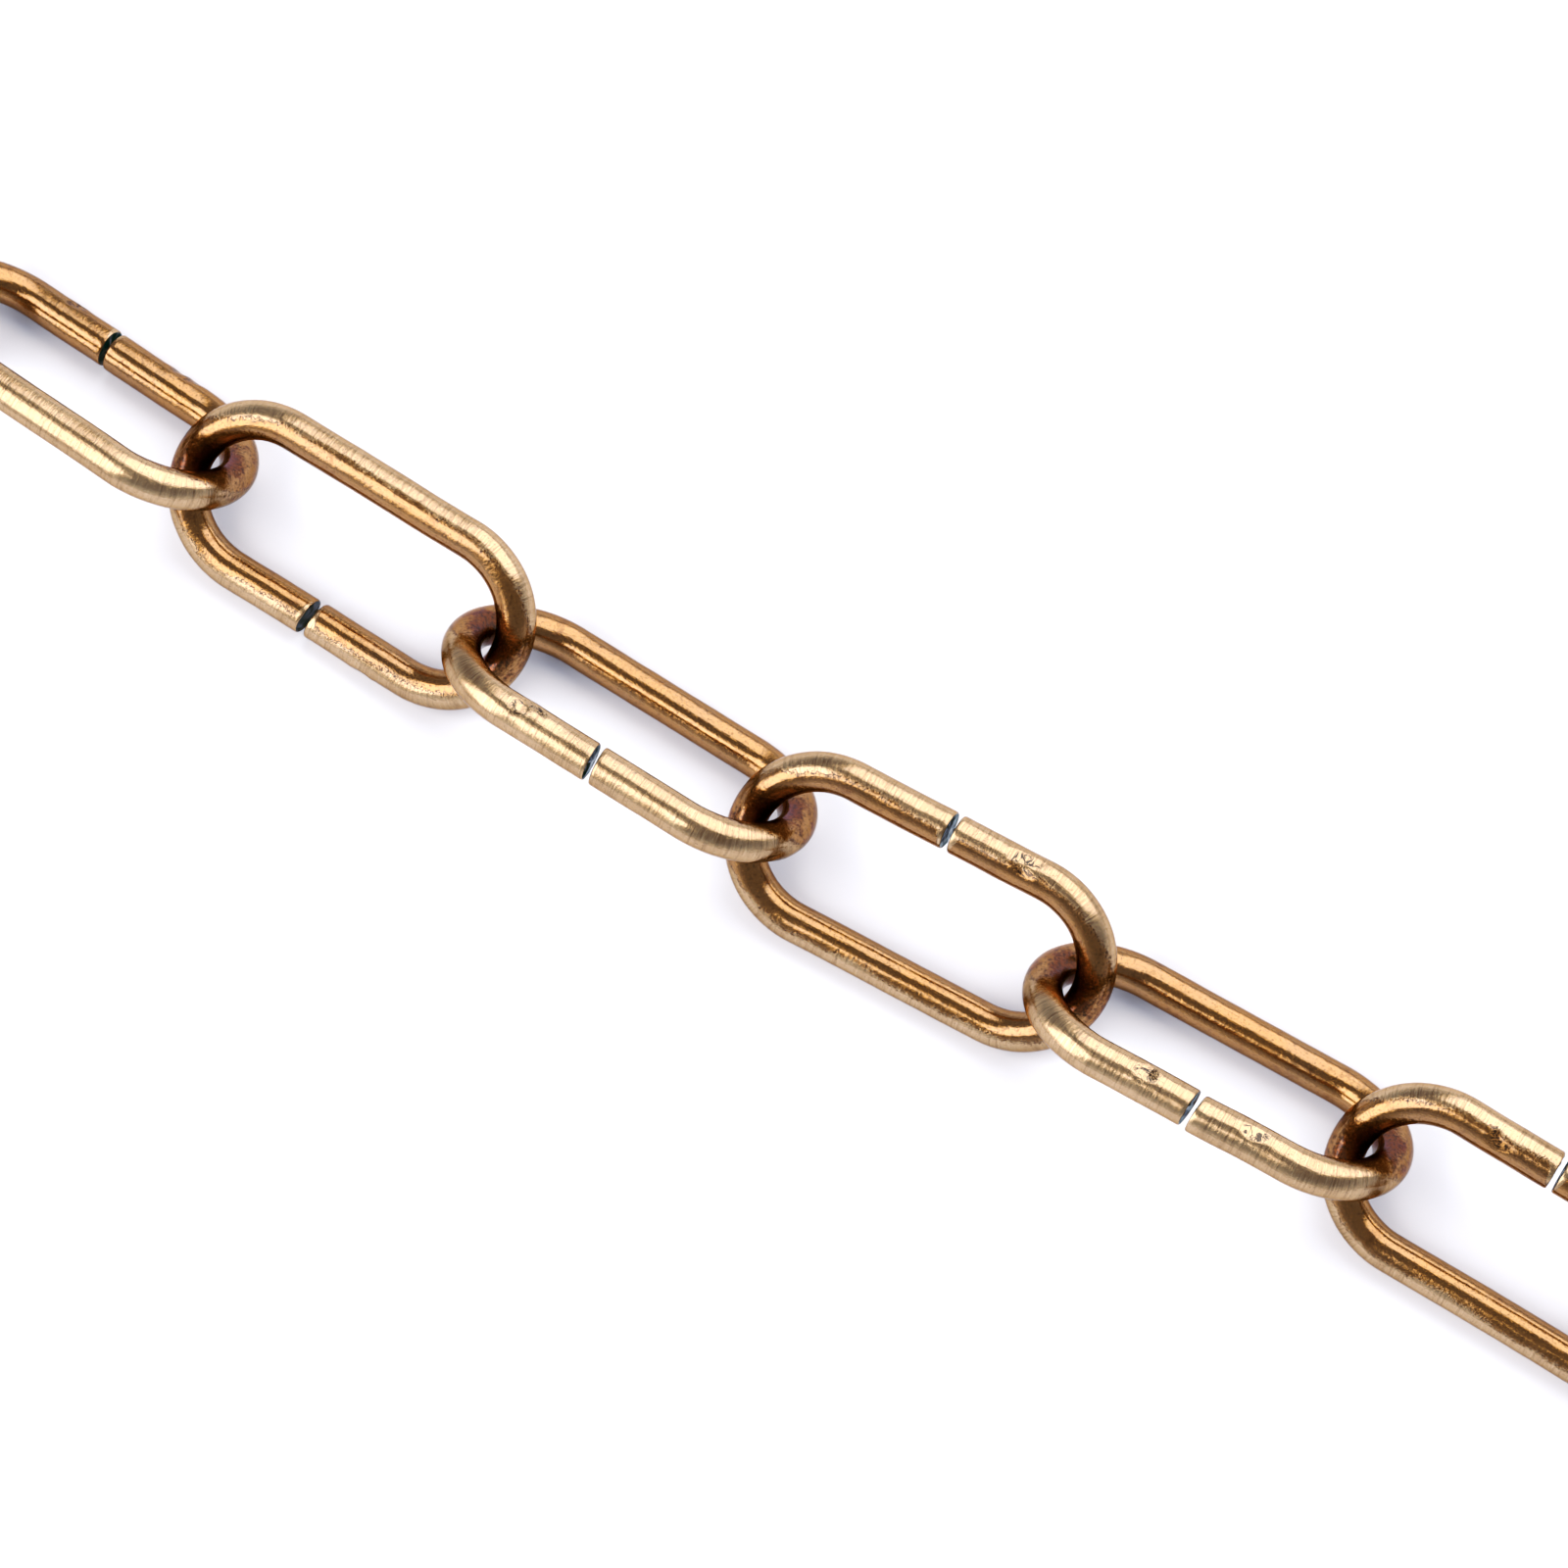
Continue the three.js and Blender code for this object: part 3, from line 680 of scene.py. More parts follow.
def antique_brass():
    n = Nodes(BRASS)
    wire = n.attribute("wire", "Vector")
    brushed_at = n.attribute("brushed")
    patina_and_shade_at = n.attribute("patina_and_shade")
    crease = n.attribute("crease")
    cut_face = n.attribute("cut_face")

    broad = n.noise(wire, 0.35, 3.0)
    patches = n.noise(wire, 1.3, 4.0, 0.6)
    grain = n.noise(wire, 7.0, 4.0, 0.65)
    specks = n.noise(wire, 16.0, 2.0, 0.5)
    dents = n.noise(wire, 2.4, 3.0, 0.6)
    # Fine lines that run round the wire: they change quickly along it, slowly round it.
    lines = n.noise(n.scaled(wire, LINES_SCALE), 1.0, 3.0, 0.65)
    fine_lines = n.noise(n.scaled(wire, FINE_LINES_SCALE), 1.0, 2.0, 0.6)
    # Drawing scratches that run along it.
    scratches = n.noise(n.scaled(wire, SCRATCHES_SCALE), 1.0, 3.0, 0.55)

    ragged = n.math("MULTIPLY_ADD", n.math("SUBTRACT", grain, 0.5), 0.75, brushed_at)
    ragged = n.math("MULTIPLY_ADD", n.math("SUBTRACT", patches, 0.5), 0.7, ragged)
    ragged = n.math("MULTIPLY_ADD", n.math("SUBTRACT", lines, 0.5), 0.55, ragged)
    brushed = n.band(ragged, -0.12, 0.18)

    bronze = n.mix(n.band(broad, 0.35, 0.65), *BRONZE)
    bronze = n.mix(n.band(patches, 0.54, 0.72, 0.0, 0.5), bronze, BRONZE_PATCH)
    bronze = n.mix(n.band(grain, 0.54, 0.68, 0.0, 0.5), bronze, BRONZE_GRAIN)
    bronze = n.mix(n.band(scratches, 0.58, 0.74, 0.0, 0.45), bronze, BRONZE_SCRATCH)
    gold = n.mix(n.band(broad, 0.3, 0.7), *GOLD)
    gold = n.mix(n.band(lines, 0.5, 0.63, 0.0, 0.42), gold, GOLD_LINE)
    gold = n.mix(n.band(fine_lines, 0.52, 0.7, 0.0, 0.4), gold, GOLD_FINE_LINE)
    colour = n.mix(brushed, bronze, gold)

    # Dark specks crowd along the edge of the brushing.
    edge = n.math("MULTIPLY", brushed, n.math("SUBTRACT", 1.0, brushed))
    edge = n.band(edge, 0.01, 0.18)
    edge_specks = n.math("MULTIPLY", edge, n.band(specks, 0.45, 0.56), clamp=True)
    loose_specks = n.band(specks, 0.63, 0.7)
    colour = n.mix(n.math("MULTIPLY", edge_specks, 0.88), colour, EDGE_SPECK)
    colour = n.mix(n.math("MULTIPLY", loose_specks, 0.6), colour, LOOSE_SPECK)

    # Dark patina in hollows and contact places, together with painted shade over the outsides of the
    # link bows.
    patina_and_shade = n.math("MULTIPLY_ADD", n.math("SUBTRACT", patches, 0.5), 1.6, patina_and_shade_at)
    patina_and_shade = n.math("MULTIPLY_ADD", n.math("SUBTRACT", grain, 0.5), 1.1, patina_and_shade)
    patina_and_shade = n.band(patina_and_shade, 0.4, 1.0)
    dark = n.mix(n.band(grain, 0.45, 0.62), *PATINA_AND_SHADE)
    colour = n.mix(n.math("MULTIPLY", patina_and_shade, 0.92), colour, dark)
    # Creases where pliers have pinched the bar.
    crack = n.noise(wire, 1.7, 3.0, 0.6, 1.2)
    crack = n.math("ABSOLUTE", n.math("SUBTRACT", crack, 0.5))
    crack = n.band(crack, 0.014, 0.05, 1.0, 0.0)
    crack = n.math("MULTIPLY", crack, n.band(crease, 0.12, 0.5), clamp=True)
    colour = n.mix(n.math("MULTIPLY", crack, 0.9), colour, CRACK)

    teal = n.mix(n.band(grain, 0.4, 0.62), *CUT_TEAL)
    colour = n.mix(cut_face, colour, teal)

    rough = n.blend(brushed, ROUGH_BRONZE, ROUGH_BRUSHED)
    rough = n.math("MULTIPLY_ADD", n.math("SUBTRACT", patches, 0.5), 0.16, rough)
    rough = n.math("MULTIPLY_ADD", patina_and_shade, 0.04, rough)
    rough = n.math("MULTIPLY_ADD", cut_face, 0.25, rough, clamp=True)

    heights = {
        "lines": n.math("MULTIPLY", lines, brushed),
        "fine_lines": n.math("MULTIPLY", fine_lines, brushed),
        "grain": grain,
        "dents": dents,
        "scratches": scratches,
        "edge_specks": edge_specks,
        "loose_specks": loose_specks,
        "crack": crack,
    }
    relief = 0.0
    for name, weight in RELIEF.items():
        relief = n.math("MULTIPLY_ADD", heights[name], weight, relief)
    bump = n.bump(relief, BRASS_BUMP, BRASS_BUMP_STRENGTH)

    shader = n.add("ShaderNodeBsdfPrincipled")
    n.put(shader.inputs["Base Color"], colour)
    n.put(shader.inputs["Roughness"], rough)
    n.put(shader.inputs["Normal"], bump)
    n.put(shader.inputs["Metallic"], n.math("SUBTRACT", 1.0, n.math("MULTIPLY", cut_face, 0.7)))
    shader.inputs["Specular Tint"].default_value = SPECULAR_TINT
    shader.inputs["Coat Weight"].default_value = COAT_WEIGHT
    shader.inputs["Coat Roughness"].default_value = COAT_ROUGH
    shader.inputs["Coat IOR"].default_value = COAT_IOR
    return n.finished(shader)


STEEL_COLOURS = (rgb(170, 166, 160), rgb(122, 116, 108))
STEEL_LINE = rgb(205, 203, 198)
STEEL_BUMP = 0.01           # mm
STEEL_BUMP_STRENGTH = 0.4


def spring_steel():
    n = Nodes(STEEL)
    place = n.add("ShaderNodeTexCoord").outputs["Object"]
    place = n.scaled(place, (1 / MM, 1 / MM, 1 / MM))
    grain = n.noise(place, 9.0, 3.0)
    lines = n.noise(n.scaled(place, (3.0, 3.0, 40.0)), 1.0, 2.0)
    colour = n.mix(n.band(grain, 0.4, 0.65), *STEEL_COLOURS)
    colour = n.mix(n.band(lines, 0.55, 0.7, 0.0, 0.5), colour, STEEL_LINE)
    bump = n.bump(n.math("ADD", grain, lines), STEEL_BUMP, STEEL_BUMP_STRENGTH)
    shader = n.add("ShaderNodeBsdfPrincipled")
    n.put(shader.inputs["Base Color"], colour)
    n.put(shader.inputs["Roughness"], n.band(grain, 0.3, 0.7, 0.26, 0.42))
    n.put(shader.inputs["Normal"], bump)
    shader.inputs["Metallic"].default_value = 1.0
    return n.finished(shader)


MATERIALS = {BRASS: antique_brass(), STEEL: spring_steel()}

# --- turned and formed fittings ---------------------------------------------

T_BAR_LENGTH = 32
T_BAR_BALL = 3.8
T_BAR_SHAFT = 2.9
T_BAR_NECK = 2.0
T_BAR_WAIST = 2.6
COLLAR_WALL = 0.7
COLLAR_LENGTH = 3.2
COLLAR_BORE = 2.9
EYE_WIRE = 1.2
T_BAR_EYE_CENTRE = -4.9
T_BAR_EYE_RADIUS = 2.7
SWIVEL_EYE_CENTRE = -3.65
SWIVEL_EYE_RADIUS = 2.4
SHOULDER = 3.0
POST = 1.6
POST_HEAD = 2.6
BARREL = 4.4
BARREL_LENGTH = 3.0
CLASP_THICKNESS = 3.2
HOOK_CENTRE = 17.6
HOOK_INSIDE = 2.6
HOOK_OUTSIDE = 4.7
MOUTH_X = 8.4
NIB_X = 16.4
PIVOT = (6.95, 3.25)
CHEEK = 1.45
SLOT = 2.2
GATE_THICKNESS = 1.9
GATE_WIDTH = 1.6
GATE_HUB = 2.6
PIN = 1.1
PIN_HEAD = 1.8
# Details that only the visible pieces have.
COLLAR_TAPER = 0.2          # easing of the collar's edges
POST_BORE = 0.95            # radius of the barrel's bore
WINDOW_END = 4.7
WINDOW_HALF = 1.6
SLOT_REACH = 1.6            # half the slot's length, along the hook
SLOT_FLOOR = 2.05           # how far below the pivot the slot goes
PIN_HOLE = 0.625            # radius of the rivet's hole in the cheeks
GATE_HOLE = 0.7             # and in the gate
SPRING_ROOM = 0.65          # half the length of the pocket for the spring
SPRING_POCKET = 1.15        # and its radius
NUB = 1.1
NUB_PAST_MIDDLE = 2.2
GATE_SHY = 0.15             # how far short of the nib the gate stops
RIVET_CROWN = 0.3
RIVET_PROUD = 0.05


def lathe_shell(profile, sides, axis):
    """Closed shell of a profile [(radius, along)], turned about X, Y or Z."""
    points, faces = [], []
    for radius, along in profile:
        if radius < 1e-6:
            points.append((0.0, 0.0, along))
            continue
        for k in range(sides):
            angle = 2 * math.pi * k / sides
            points.append((radius * math.cos(angle), radius * math.sin(angle), along))
    start = 0
    starts = []
    for radius, _ in profile:
        starts.append(start)
        start += 1 if radius < 1e-6 else sides
    for i in range(len(profile) - 1):
        a, b = starts[i], starts[i + 1]
        pole_a, pole_b = profile[i][0] < 1e-6, profile[i + 1][0] < 1e-6
        for k in range(sides):
            n = (k + 1) % sides
            if pole_a:
                faces.append((a, b + n, b + k))
            elif pole_b:
                faces.append((a + k, a + n, b))
            else:
                faces.append((a + k, a + n, b + n, b + k))
    points = np.array(points)
    order = {"X": (2, 0, 1), "Y": (1, 2, 0), "Z": (0, 1, 2)}[axis]
    return points[:, order], faces


def rounded_rod(radius, start, end, edge=0.12, steps=3):
    """Profile of a rod with eased edges."""
    edge = min(edge, radius, (end - start) / 2)
    low = [
        (radius - edge + edge * math.sin(t), start + edge - edge * math.cos(t))
        for t in np.linspace(0, math.pi / 2, steps + 1)
    ]
    high = [(r, end - (a - start)) for r, a in reversed(low)]
    return [(0.0, start)] + low + high + [(0.0, end)]


def plain_rod(radius, start, end, sides, axis):
    """Closed shell of a square-ended rod, for cutting holes."""
    return lathe_shell([(0, start), (radius, start), (radius, end), (0, end)], sides, axis)


def torus_shell(radius, wire, x, sides=24, steps=72):
    points = []
    for i in range(steps):
        around = 2 * math.pi * i / steps
        for k in range(sides):
            angle = 2 * math.pi * k / sides
            out = radius + wire / 2 * math.cos(angle)
            points.append(
                (x + out * math.cos(around), out * math.sin(around), wire / 2 * math.sin(angle))
            )
    return np.array(points), tube_faces(steps, sides, closed=True)


def plate_shell(outline, thickness):
    """Closed plate of an outline, centred on z = 0."""
    count = len(outline)
    points = [(x, y, -thickness / 2) for x, y in outline]
    points += [(x, y, thickness / 2) for x, y in outline]
    faces = [tuple(reversed(range(count))), tuple(range(count, 2 * count))]
    for k in range(count):
        n = (k + 1) % count
        faces.append((k, n, count + n, count + k))
    return np.array(points), faces


def box_shell(lo, hi):
    outline = [(lo[0], lo[1]), (hi[0], lo[1]), (hi[0], hi[1]), (lo[0], hi[1])]
    points, faces = plate_shell(outline, hi[2] - lo[2])
    points[:, 2] += (lo[2] + hi[2]) / 2
    return points, faces


def moved(shell, offset):
    return shell[0] + np.array(offset, float), shell[1]


def arc(cx, cy, radius, start, end, steps):
    return [
        (cx + radius * math.cos(t), cy + radius * math.sin(t))
        for t in np.radians(np.linspace(start, end, steps + 1))
    ]


def temporary(shell, name):
    mesh = bpy.data.meshes.new(name)
    mesh.from_pydata(np.asarray(shell[0]).tolist(), [], shell[1])
    fix = bmesh.new()
    fix.from_mesh(mesh)
    bmesh.ops.recalc_face_normals(fix, faces=fix.faces)
    fix.to_mesh(mesh)
    fix.free()
    scratch = bpy.data.objects.new(name, mesh)
    bpy.context.scene.collection.objects.link(scratch)
    return scratch


def formed(adds, cuts, voxel, smooth):
    """One soft-edged shell: the adds joined, the cuts taken out, then remeshed and eased."""
    base = temporary(adds[0], "scratch")
    others = []
    for operation, shells in (("UNION", adds[1:]), ("DIFFERENCE", cuts)):
        for shell in shells:
            other = temporary(shell, "scratch_other")
            other.hide_render = True
            others.append(other)
            step = base.modifiers.new("step", "BOOLEAN")
            step.operation = operation
            step.solver = "EXACT"
            step.object = other
    remesh = base.modifiers.new("remesh", "REMESH")
    remesh.mode = "VOXEL"
    remesh.voxel_size = voxel
    ease = base.modifiers.new("ease", "SMOOTH")
    ease.factor = 0.5
    ease.iterations = smooth
    graph = bpy.context.evaluated_depsgraph_get()
    done = base.evaluated_get(graph).to_mesh()
    points = np.zeros(len(done.vertices) * 3)
    done.vertices.foreach_get("co", points)
    points = points.reshape(-1, 3)
    faces = [tuple(p.vertices) for p in done.polygons]
    base.evaluated_get(graph).to_mesh_clear()
    for scratch in [base, *others]:
        mesh = scratch.data
        bpy.data.objects.remove(scratch)
        bpy.data.meshes.remove(mesh)
    return points, faces


def convexity(points, faces, rounds):
    """How far each point stands proud of its neighbourhood, in mm, along its normal."""
    count = len(points)
    pairs = set()
    for face in faces:
        for a, b in zip(face, face[1:] + face[:1]):
            pairs.add((a, b) if a < b else (b, a))
    pairs = np.array(sorted(pairs))
    degree = np.bincount(pairs.ravel(), minlength=count).astype(float)[:, None]
    eased = points.copy()
    for _ in range(rounds):
        total = np.zeros_like(eased)
        np.add.at(total, pairs[:, 0], eased[pairs[:, 1]])
        np.add.at(total, pairs[:, 1], eased[pairs[:, 0]])
        eased = total / degree
    normals = np.zeros_like(points)
    for face in faces:
        a, b, c = points[face[0]], points[face[1]], points[face[2]]
        normal = np.cross(b - a, c - a)
        for v in face:
            normals[v] += normal
    normals /= np.maximum(np.linalg.norm(normals, axis=1), 1e-12)[:, None]
    return np.einsum("ij,ij->i", points - eased, normals)


RUB_START = 0.1             # how proud a place is before it rubs bright
RUB_PATCH = 0.5
RUB_PATCH_SIZE = 2.2        # mm
DARK_BASE = 0.18
DARK_HOLLOW = 1.6           # how much darker hollows are
DARK_PATCH = 0.25
DARK_PATCH_SIZE = 1.6       # mm


def fitting(name, shell, matrix, body, node, seed, rounds, gain, order=(0, 1, 2)):
    """A fitting whose corners are rubbed bright and whose corners inside stay dark."""
    points, faces = shell
    proud = convexity(points, faces, rounds) * gain
    patch = wobble3(points, seed, RUB_PATCH_SIZE)
    brushed = np.clip(proud - RUB_START + RUB_PATCH * patch, -1, 1)
    dark_patch = DARK_PATCH * wobble3(points, seed + 5, DARK_PATCH_SIZE)
    patina_and_shade = np.clip(DARK_BASE - proud * DARK_HOLLOW + dark_patch, 0, 1.1)
    space = points[:, order] + np.array([61.7 * seed, 0, 5.3 * seed])
    return make_piece(
        name,
        points,
        faces,
        matrix,
        body,
        [node],
        BRASS,
        finish(space, brushed, patina_and_shade),
    )


def build_t_bar():
    matrix = placed(middle("t_bar"), *T_BAR_END)
    half = T_BAR_LENGTH / 2
    ball = T_BAR_BALL / 2
    ball_at = half - ball
    neck_angle = math.pi - math.asin(T_BAR_NECK / T_BAR_BALL)
    upper = [(0.0, half)]
    upper += [
        (ball * math.sin(t), ball_at + ball * math.cos(t))
        for t in np.linspace(0, neck_angle, 17)[1:]
    ]
    neck_end = upper[-1][1]
    arm_end = COLLAR_LENGTH / 2 + 0.15
    shaft = T_BAR_SHAFT + COLLAR_WALL
    for share in np.linspace(0, 1, 25)[1:]:
        swell = math.sin(math.pi / 2 * share)
        upper.append(
            ((T_BAR_NECK + (shaft - T_BAR_NECK) * swell) / 2, neck_end + (arm_end - neck_end) * share)
        )
    last = upper.pop()
    edge = 0.15
    upper += [
        (last[0] - edge + edge * math.cos(t), arm_end + edge - edge * math.sin(t))
        for t in np.linspace(0, math.pi / 2, 4)
    ]
    upper += [(T_BAR_WAIST / 2 + 0.1, arm_end), (T_BAR_WAIST / 2, arm_end - 0.1)]
    lower = [(r, -a) for r, a in reversed(upper)]
    shell = lathe_shell(list(reversed(upper + lower)), 48, "Y")
    fitting("t_bar_turned", shell, matrix, "t_bar", "t_bar", 21, 3, 60, order=(1, 0, 2))

    inner = COLLAR_BORE / 2
    outer = inner + COLLAR_WALL
    reach = COLLAR_LENGTH / 2
    collar = lathe_shell(rounded_rod(outer, -reach, reach, COLLAR_TAPER, 4), 64, "Y")
    bore = plain_rod(inner, -reach - 1, reach + 1, 64, "Y")
    loop = torus_shell(T_BAR_EYE_RADIUS, EYE_WIRE, T_BAR_EYE_CENTRE)
    shell = formed([collar, loop], [bore], 0.1, 6)
    fitting("t_bar_eye_brazed", shell, matrix, "t_bar", "t_bar_eye", 22, 4, 14)


def clasp_frame():
    """The clasp's own frame: barrel face at x = 0, hook to +X, gate on +Y."""
    lo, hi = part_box("clasp_body")
    centre = (lo + hi) / 2 / MM
    return placed(Vector((hi.x / MM, centre.y, centre.z)), *CLASP)


def build_hook(matrix):
    block = BARREL_LENGTH - 0.55
    neck = BARREL / 2 + 0.15
    corner = HOOK_INSIDE / 2
    outline = [(block, -neck)]
    for t in np.linspace(0, 1, 9)[1:]:
        a = (1 - t) ** 2
        b = 2 * t * (1 - t)
        c = t * t
        outline.append(
            (a * block + b * WINDOW_END + c * MOUTH_X, -a * neck - (b + c) * HOOK_OUTSIDE)
        )
    outline += arc(HOOK_CENTRE, 0, HOOK_OUTSIDE, -90, 90, 32)
    outline += [(NIB_X, HOOK_OUTSIDE), (NIB_X, HOOK_INSIDE)]
    outline += arc(HOOK_CENTRE, 0, HOOK_INSIDE, 90, -90, 28)
    outline += arc(MOUTH_X + corner, corner - HOOK_INSIDE, corner, -90, -180, 10)
    outline += arc(PIVOT[0], PIVOT[1], CHEEK, 0, 120, 14)
    outline += [(block, neck)]
    plate = plate_shell(outline, CLASP_THICKNESS)
    barrel = lathe_shell(rounded_rod(BARREL / 2, 0, BARREL_LENGTH, 0.3, 4), 64, "X")
    bore = plain_rod(POST_BORE, -1, WINDOW_END, 48, "X")
    window = box_shell((BARREL_LENGTH, -WINDOW_HALF, -3), (WINDOW_END, WINDOW_HALF, 3))
    slot = box_shell(
        (PIVOT[0] - SLOT_REACH, PIVOT[1] - SLOT_FLOOR, -SLOT / 2),
        (PIVOT[0] + SLOT_REACH, 8, SLOT / 2),
    )
    hole = moved(plain_rod(PIN_HOLE, -3, 3, 32, "Z"), (*PIVOT, 0))
    shell = formed([plate, barrel], [bore, window, slot, hole], 0.11, 7)
    fitting("clasp_hook_formed", shell, matrix, "clasp_hook", "clasp_body", 23, 5, 16)



def build_gate(matrix):
    tip = NIB_X - GATE_SHY
    outer = PIVOT[1] + GATE_WIDTH / 2
    inner = PIVOT[1] - GATE_WIDTH / 2
    nub_at = (PIVOT[0] + NIB_X) / 2 + NUB_PAST_MIDDLE
    arm = [(PIVOT[0], inner), (tip, inner), (tip, outer), (nub_at + NUB, outer)]
    arm += arc(nub_at, outer, NUB, 0, 180, 18)[1:]
    arm += [(PIVOT[0], outer)]
    hub = moved(
        lathe_shell(rounded_rod(GATE_HUB / 2, -GATE_THICKNESS / 2, GATE_THICKNESS / 2), 48, "Z"),
        (*PIVOT, 0),
    )
    pocket = moved(plain_rod(SPRING_POCKET, -SPRING_ROOM, SPRING_ROOM, 40, "Z"), (*PIVOT, 0))
    hole = moved(plain_rod(GATE_HOLE, -2, 2, 32, "Z"), (*PIVOT, 0))
    shell = formed([plate_shell(arm, GATE_THICKNESS), hub], [pocket, hole], 0.08, 6)
    fitting("clasp_gate_formed", shell, matrix, "clasp_gate", "clasp_gate", 24, 5, 20)



def build_swivel(matrix):
    turned = matrix @ Matrix.Rotation(math.radians(SWIVEL_LEAN), 4, "X")
    head_at = BARREL_LENGTH + 0.3
    post = [
        (0.0, -0.95),
        (SHOULDER / 2 - 0.2, -0.95),
        (SHOULDER / 2, -0.75),
        (SHOULDER / 2, -0.3),
        (SHOULDER / 2 - 0.15, -0.15),
        (POST / 2, -0.15),
        (POST / 2, head_at),
        (POST_HEAD / 2 - 0.1, head_at),
        (POST_HEAD / 2, head_at + 0.1),
        (POST_HEAD / 2, head_at + 0.5),
        (POST_HEAD / 2 - 0.35, head_at + 0.95),
        (0.0, head_at + 1.1),
    ]
    eye = torus_shell(SWIVEL_EYE_RADIUS, EYE_WIRE, SWIVEL_EYE_CENTRE)
    shell = formed([lathe_shell(post, 56, "X"), eye], [], 0.08, 5)
    fitting("clasp_swivel_turned", shell, turned, "clasp_swivel", "clasp_swivel", 25, 5, 16)



def build_rivet(matrix):
    reach = CLASP_THICKNESS / 2 + RIVET_PROUD
    rivet = [(0.0, -reach - RIVET_CROWN)]
    rivet += [
        (PIN_HEAD / 2 * math.sin(t), -reach - RIVET_CROWN * math.cos(t))
        for t in np.linspace(0, math.pi / 2, 7)[1:]
    ]
    rivet += [(PIN / 2, -reach), (PIN / 2, reach)]
    rivet += [
        (PIN_HEAD / 2 * math.cos(t), reach + RIVET_CROWN * math.sin(t))
        for t in np.linspace(0, math.pi / 2, 7)[:-1]
    ]
    rivet += [(0.0, reach + RIVET_CROWN)]
    points, faces = moved(lathe_shell(rivet, 40, "Z"), (*PIVOT, 0))
    make_piece(
        "gate_pin_riveted", points, faces, matrix, "clasp_hook", ["gate_pin"], STEEL, {}
    )


def build_clasp():
    matrix = clasp_frame()
    build_hook(matrix)
    build_gate(matrix)
    build_swivel(matrix)
    build_rivet(matrix)


# --- floor, light and camera ------------------------------------------------


FLOOR_HALF = 0.9            # m
FLOOR_COLOURS = ((0.85, 0.865, 0.935, 1), (0.865, 0.88, 0.95, 1))


def build_floor():
    n = Nodes("floor_paper")
    place = n.add("ShaderNodeTexCoord").outputs["Object"]
    tooth = n.noise(n.scaled(place, (1 / MM, 1 / MM, 1 / MM)), 0.8, 3.0)
    shader = n.add("ShaderNodeBsdfPrincipled")
    n.put(shader.inputs["Base Color"], n.mix(tooth, *FLOOR_COLOURS))
    shader.inputs["Roughness"].default_value = 0.75
    shader.inputs["Specular IOR Level"].default_value = 0.2
    n.finished(shader)
    mesh = bpy.data.meshes.new("floor")
    half = FLOOR_HALF
    corners = [(-half, -half, 0), (half, -half, 0), (half, half, 0), (-half, half, 0)]
    mesh.from_pydata(corners, [], [(0, 1, 2, 3)])
    mesh.materials.append(n.material)
    floor = bpy.data.objects.new("floor", mesh)
    bpy.context.scene.collection.objects.link(floor)


# Two softboxes aimed at the middle of the chain: place, size (m), watts, colour.
SOFTBOXES = {
    "soft_front": ((-0.42, -0.45, 0.50), (0.66, 0.80), 6.6, (1.0, 0.985, 0.955)),
    "soft_back": ((0.12, 0.42, 0.48), (0.72, 0.74), 4.9, (1.0, 0.99, 0.97)),
}
# The room round them, from the horizon (0) to straight up (1), which is darker.
ROOM_STRENGTH = 1.35
ROOM = (
    (0.0, (0.88, 0.9, 0.96, 1)),
    (0.2, (0.6, 0.62, 0.68, 1)),
    (0.5, (0.33, 0.34, 0.38, 1)),
    (0.95, (0.32, 0.32, 0.34, 1)),
)


def area_light(name, at, size, watts, colour):
    light = bpy.data.lights.new(name, "AREA")
    light.shape = "RECTANGLE"
    light.size, light.size_y = size
    light.energy = watts
    light.color = colour
    lamp = bpy.data.objects.new(name, light)
    lamp.location = at
    lamp.rotation_euler = (-Vector(at)).to_track_quat("-Z", "Y").to_euler()
    lamp.visible_camera = False
    bpy.context.scene.collection.objects.link(lamp)


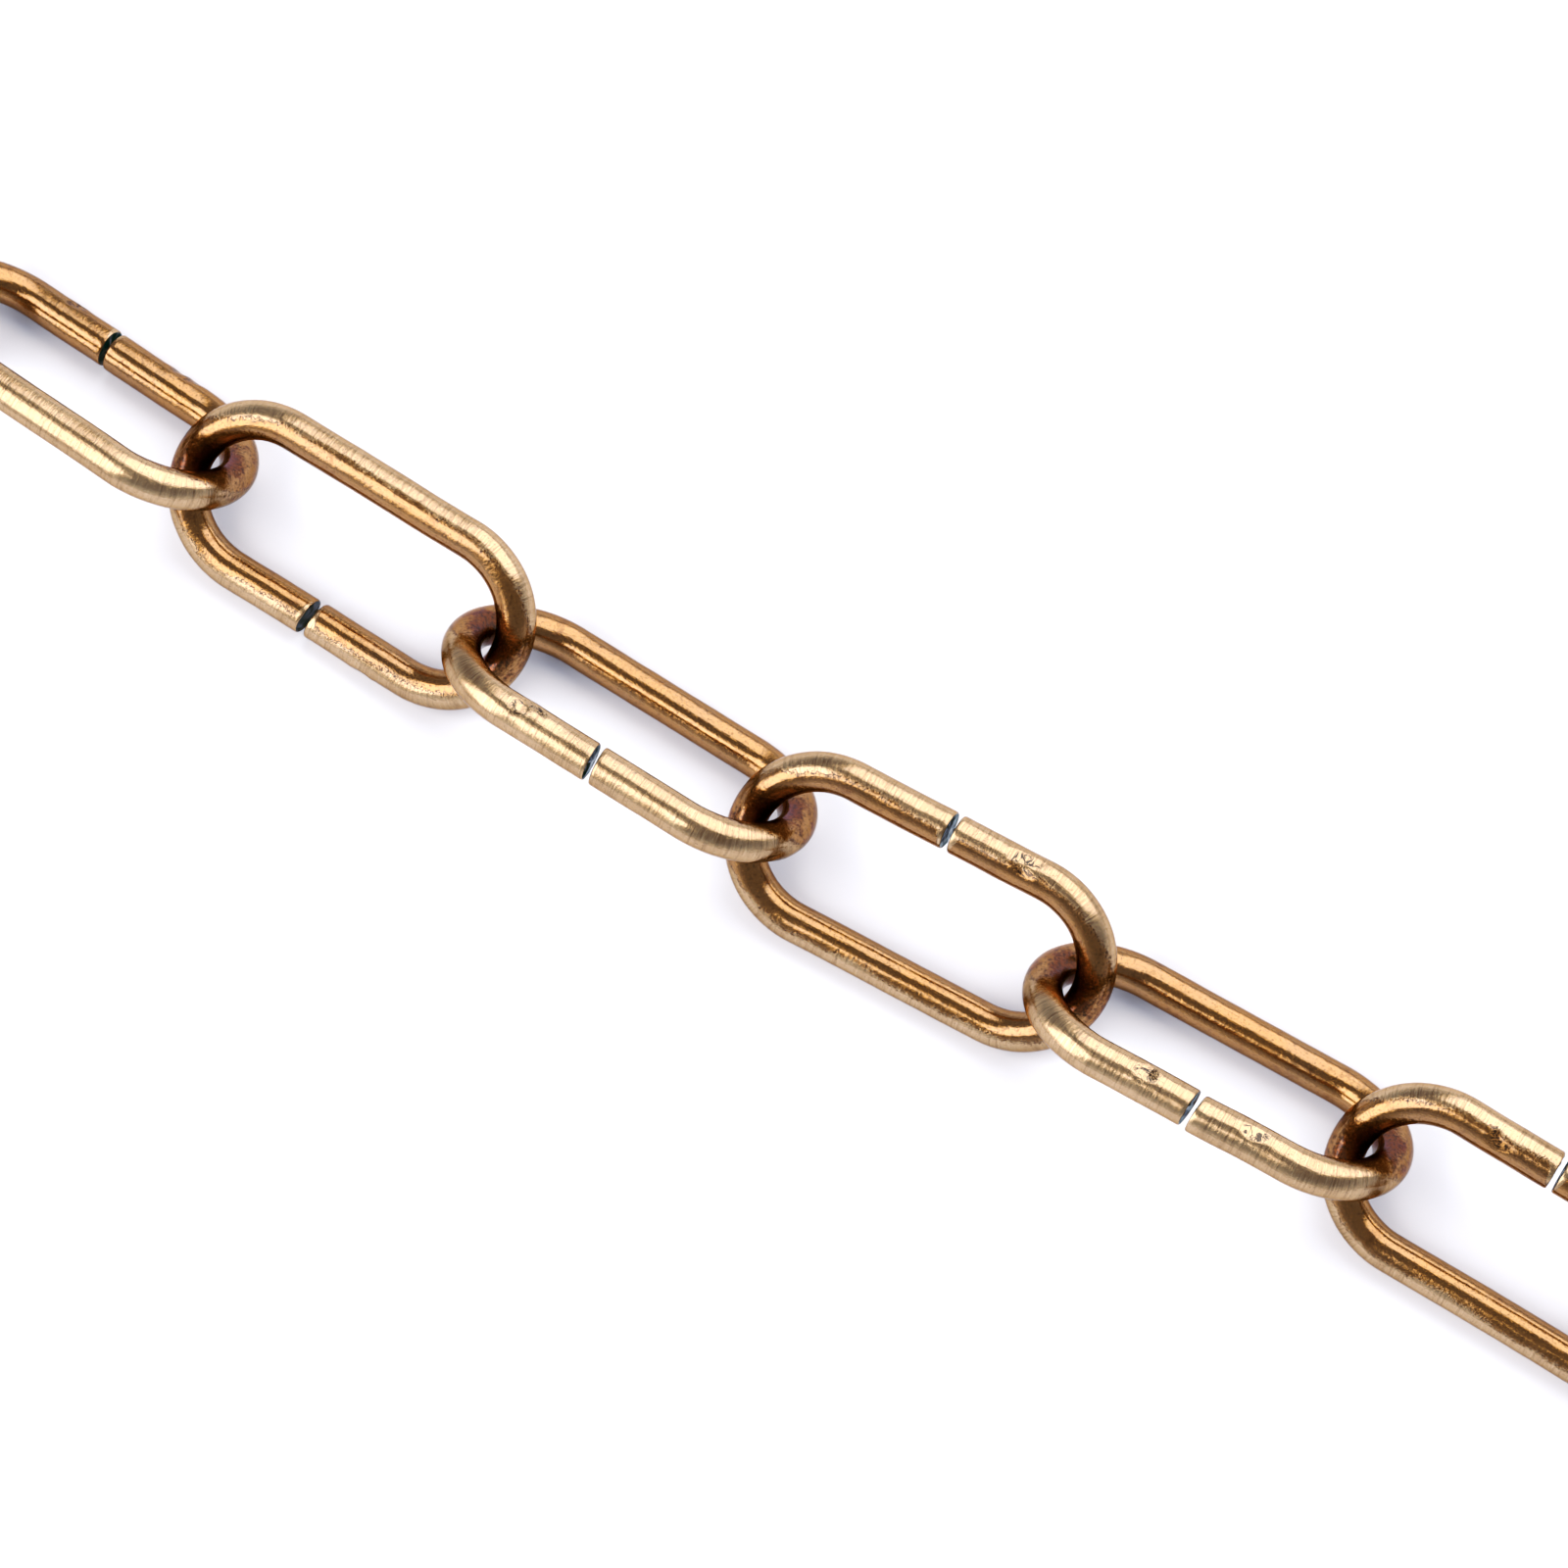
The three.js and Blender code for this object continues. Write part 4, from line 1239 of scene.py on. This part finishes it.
def build_light():
    for name, box in SOFTBOXES.items():
        area_light(name, *box)
    world = bpy.data.worlds.new("studio")
    bpy.context.scene.world = world
    world.use_nodes = True
    tree = world.node_tree
    tree.nodes.clear()
    background = tree.nodes.new("ShaderNodeBackground")
    background.inputs["Strength"].default_value = ROOM_STRENGTH
    coordinate = tree.nodes.new("ShaderNodeTexCoord")
    split = tree.nodes.new("ShaderNodeSeparateXYZ")
    ramp = tree.nodes.new("ShaderNodeValToRGB")
    output = tree.nodes.new("ShaderNodeOutputWorld")
    stops = ramp.color_ramp.elements
    for stop, (position, colour) in zip(stops, ROOM):
        stop.position = position
        stop.color = colour
    for position, colour in ROOM[2:]:
        stops.new(position).color = colour
    tree.links.new(coordinate.outputs["Generated"], split.inputs[0])
    tree.links.new(split.outputs["Z"], ramp.inputs[0])
    tree.links.new(ramp.outputs[0], background.inputs["Color"])
    tree.links.new(background.outputs[0], output.inputs[0])


def build_camera():
    data = bpy.data.cameras.new("camera")
    data.lens = CAMERA_LENS
    data.sensor_width = 36.0
    data.clip_start, data.clip_end = 0.01, 20.0
    camera = bpy.data.objects.new("camera", data)
    at = Vector(CAMERA_AT) * MM
    camera.location = at
    aim = Vector(CAMERA_LOOKS_AT) * MM - at
    camera.rotation_euler = aim.to_track_quat("-Z", "Y").to_euler()
    bpy.context.scene.collection.objects.link(camera)
    bpy.context.scene.camera = camera


# A gentle print contrast, as (in, out) points for red, green and blue.
CONTRAST = (
    ((0, 0), (0.1, 0.055), (0.2, 0.145), (0.3, 0.265), (0.4, 0.4), (0.65, 0.69), (1, 1)),
    ((0, 0), (0.1, 0.055), (0.2, 0.17), (0.3, 0.305), (0.4, 0.43), (0.65, 0.69), (1, 1)),
    ((0, 0), (0.045, 0.018), (0.1, 0.072), (0.2, 0.205), (0.34, 0.405), (0.65, 0.7), (1, 1)),
)


def grade():
    settings = bpy.context.scene.view_settings
    settings.view_transform = "Standard"
    settings.use_curve_mapping = True
    for curve, points in zip(settings.curve_mapping.curves, CONTRAST):
        curve.points[0].location = points[0]
        curve.points[-1].location = points[-1]
        for point in points[1:-1]:
            curve.points.new(*point)
    settings.curve_mapping.update()


# --- the scene --------------------------------------------------------------

grade()
build_camera()
build_floor()
build_light()
for row in range(len(LINKS)):
    build_link(row)
build_ring("t_bar_ring", *T_BAR_RING, 31)
build_ring("clasp_ring", *CLASP_RING, 32)
build_t_bar()
build_clasp()
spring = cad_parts["gate_spring"]
spring.data.materials.clear()
spring.data.materials.append(MATERIALS[STEEL])
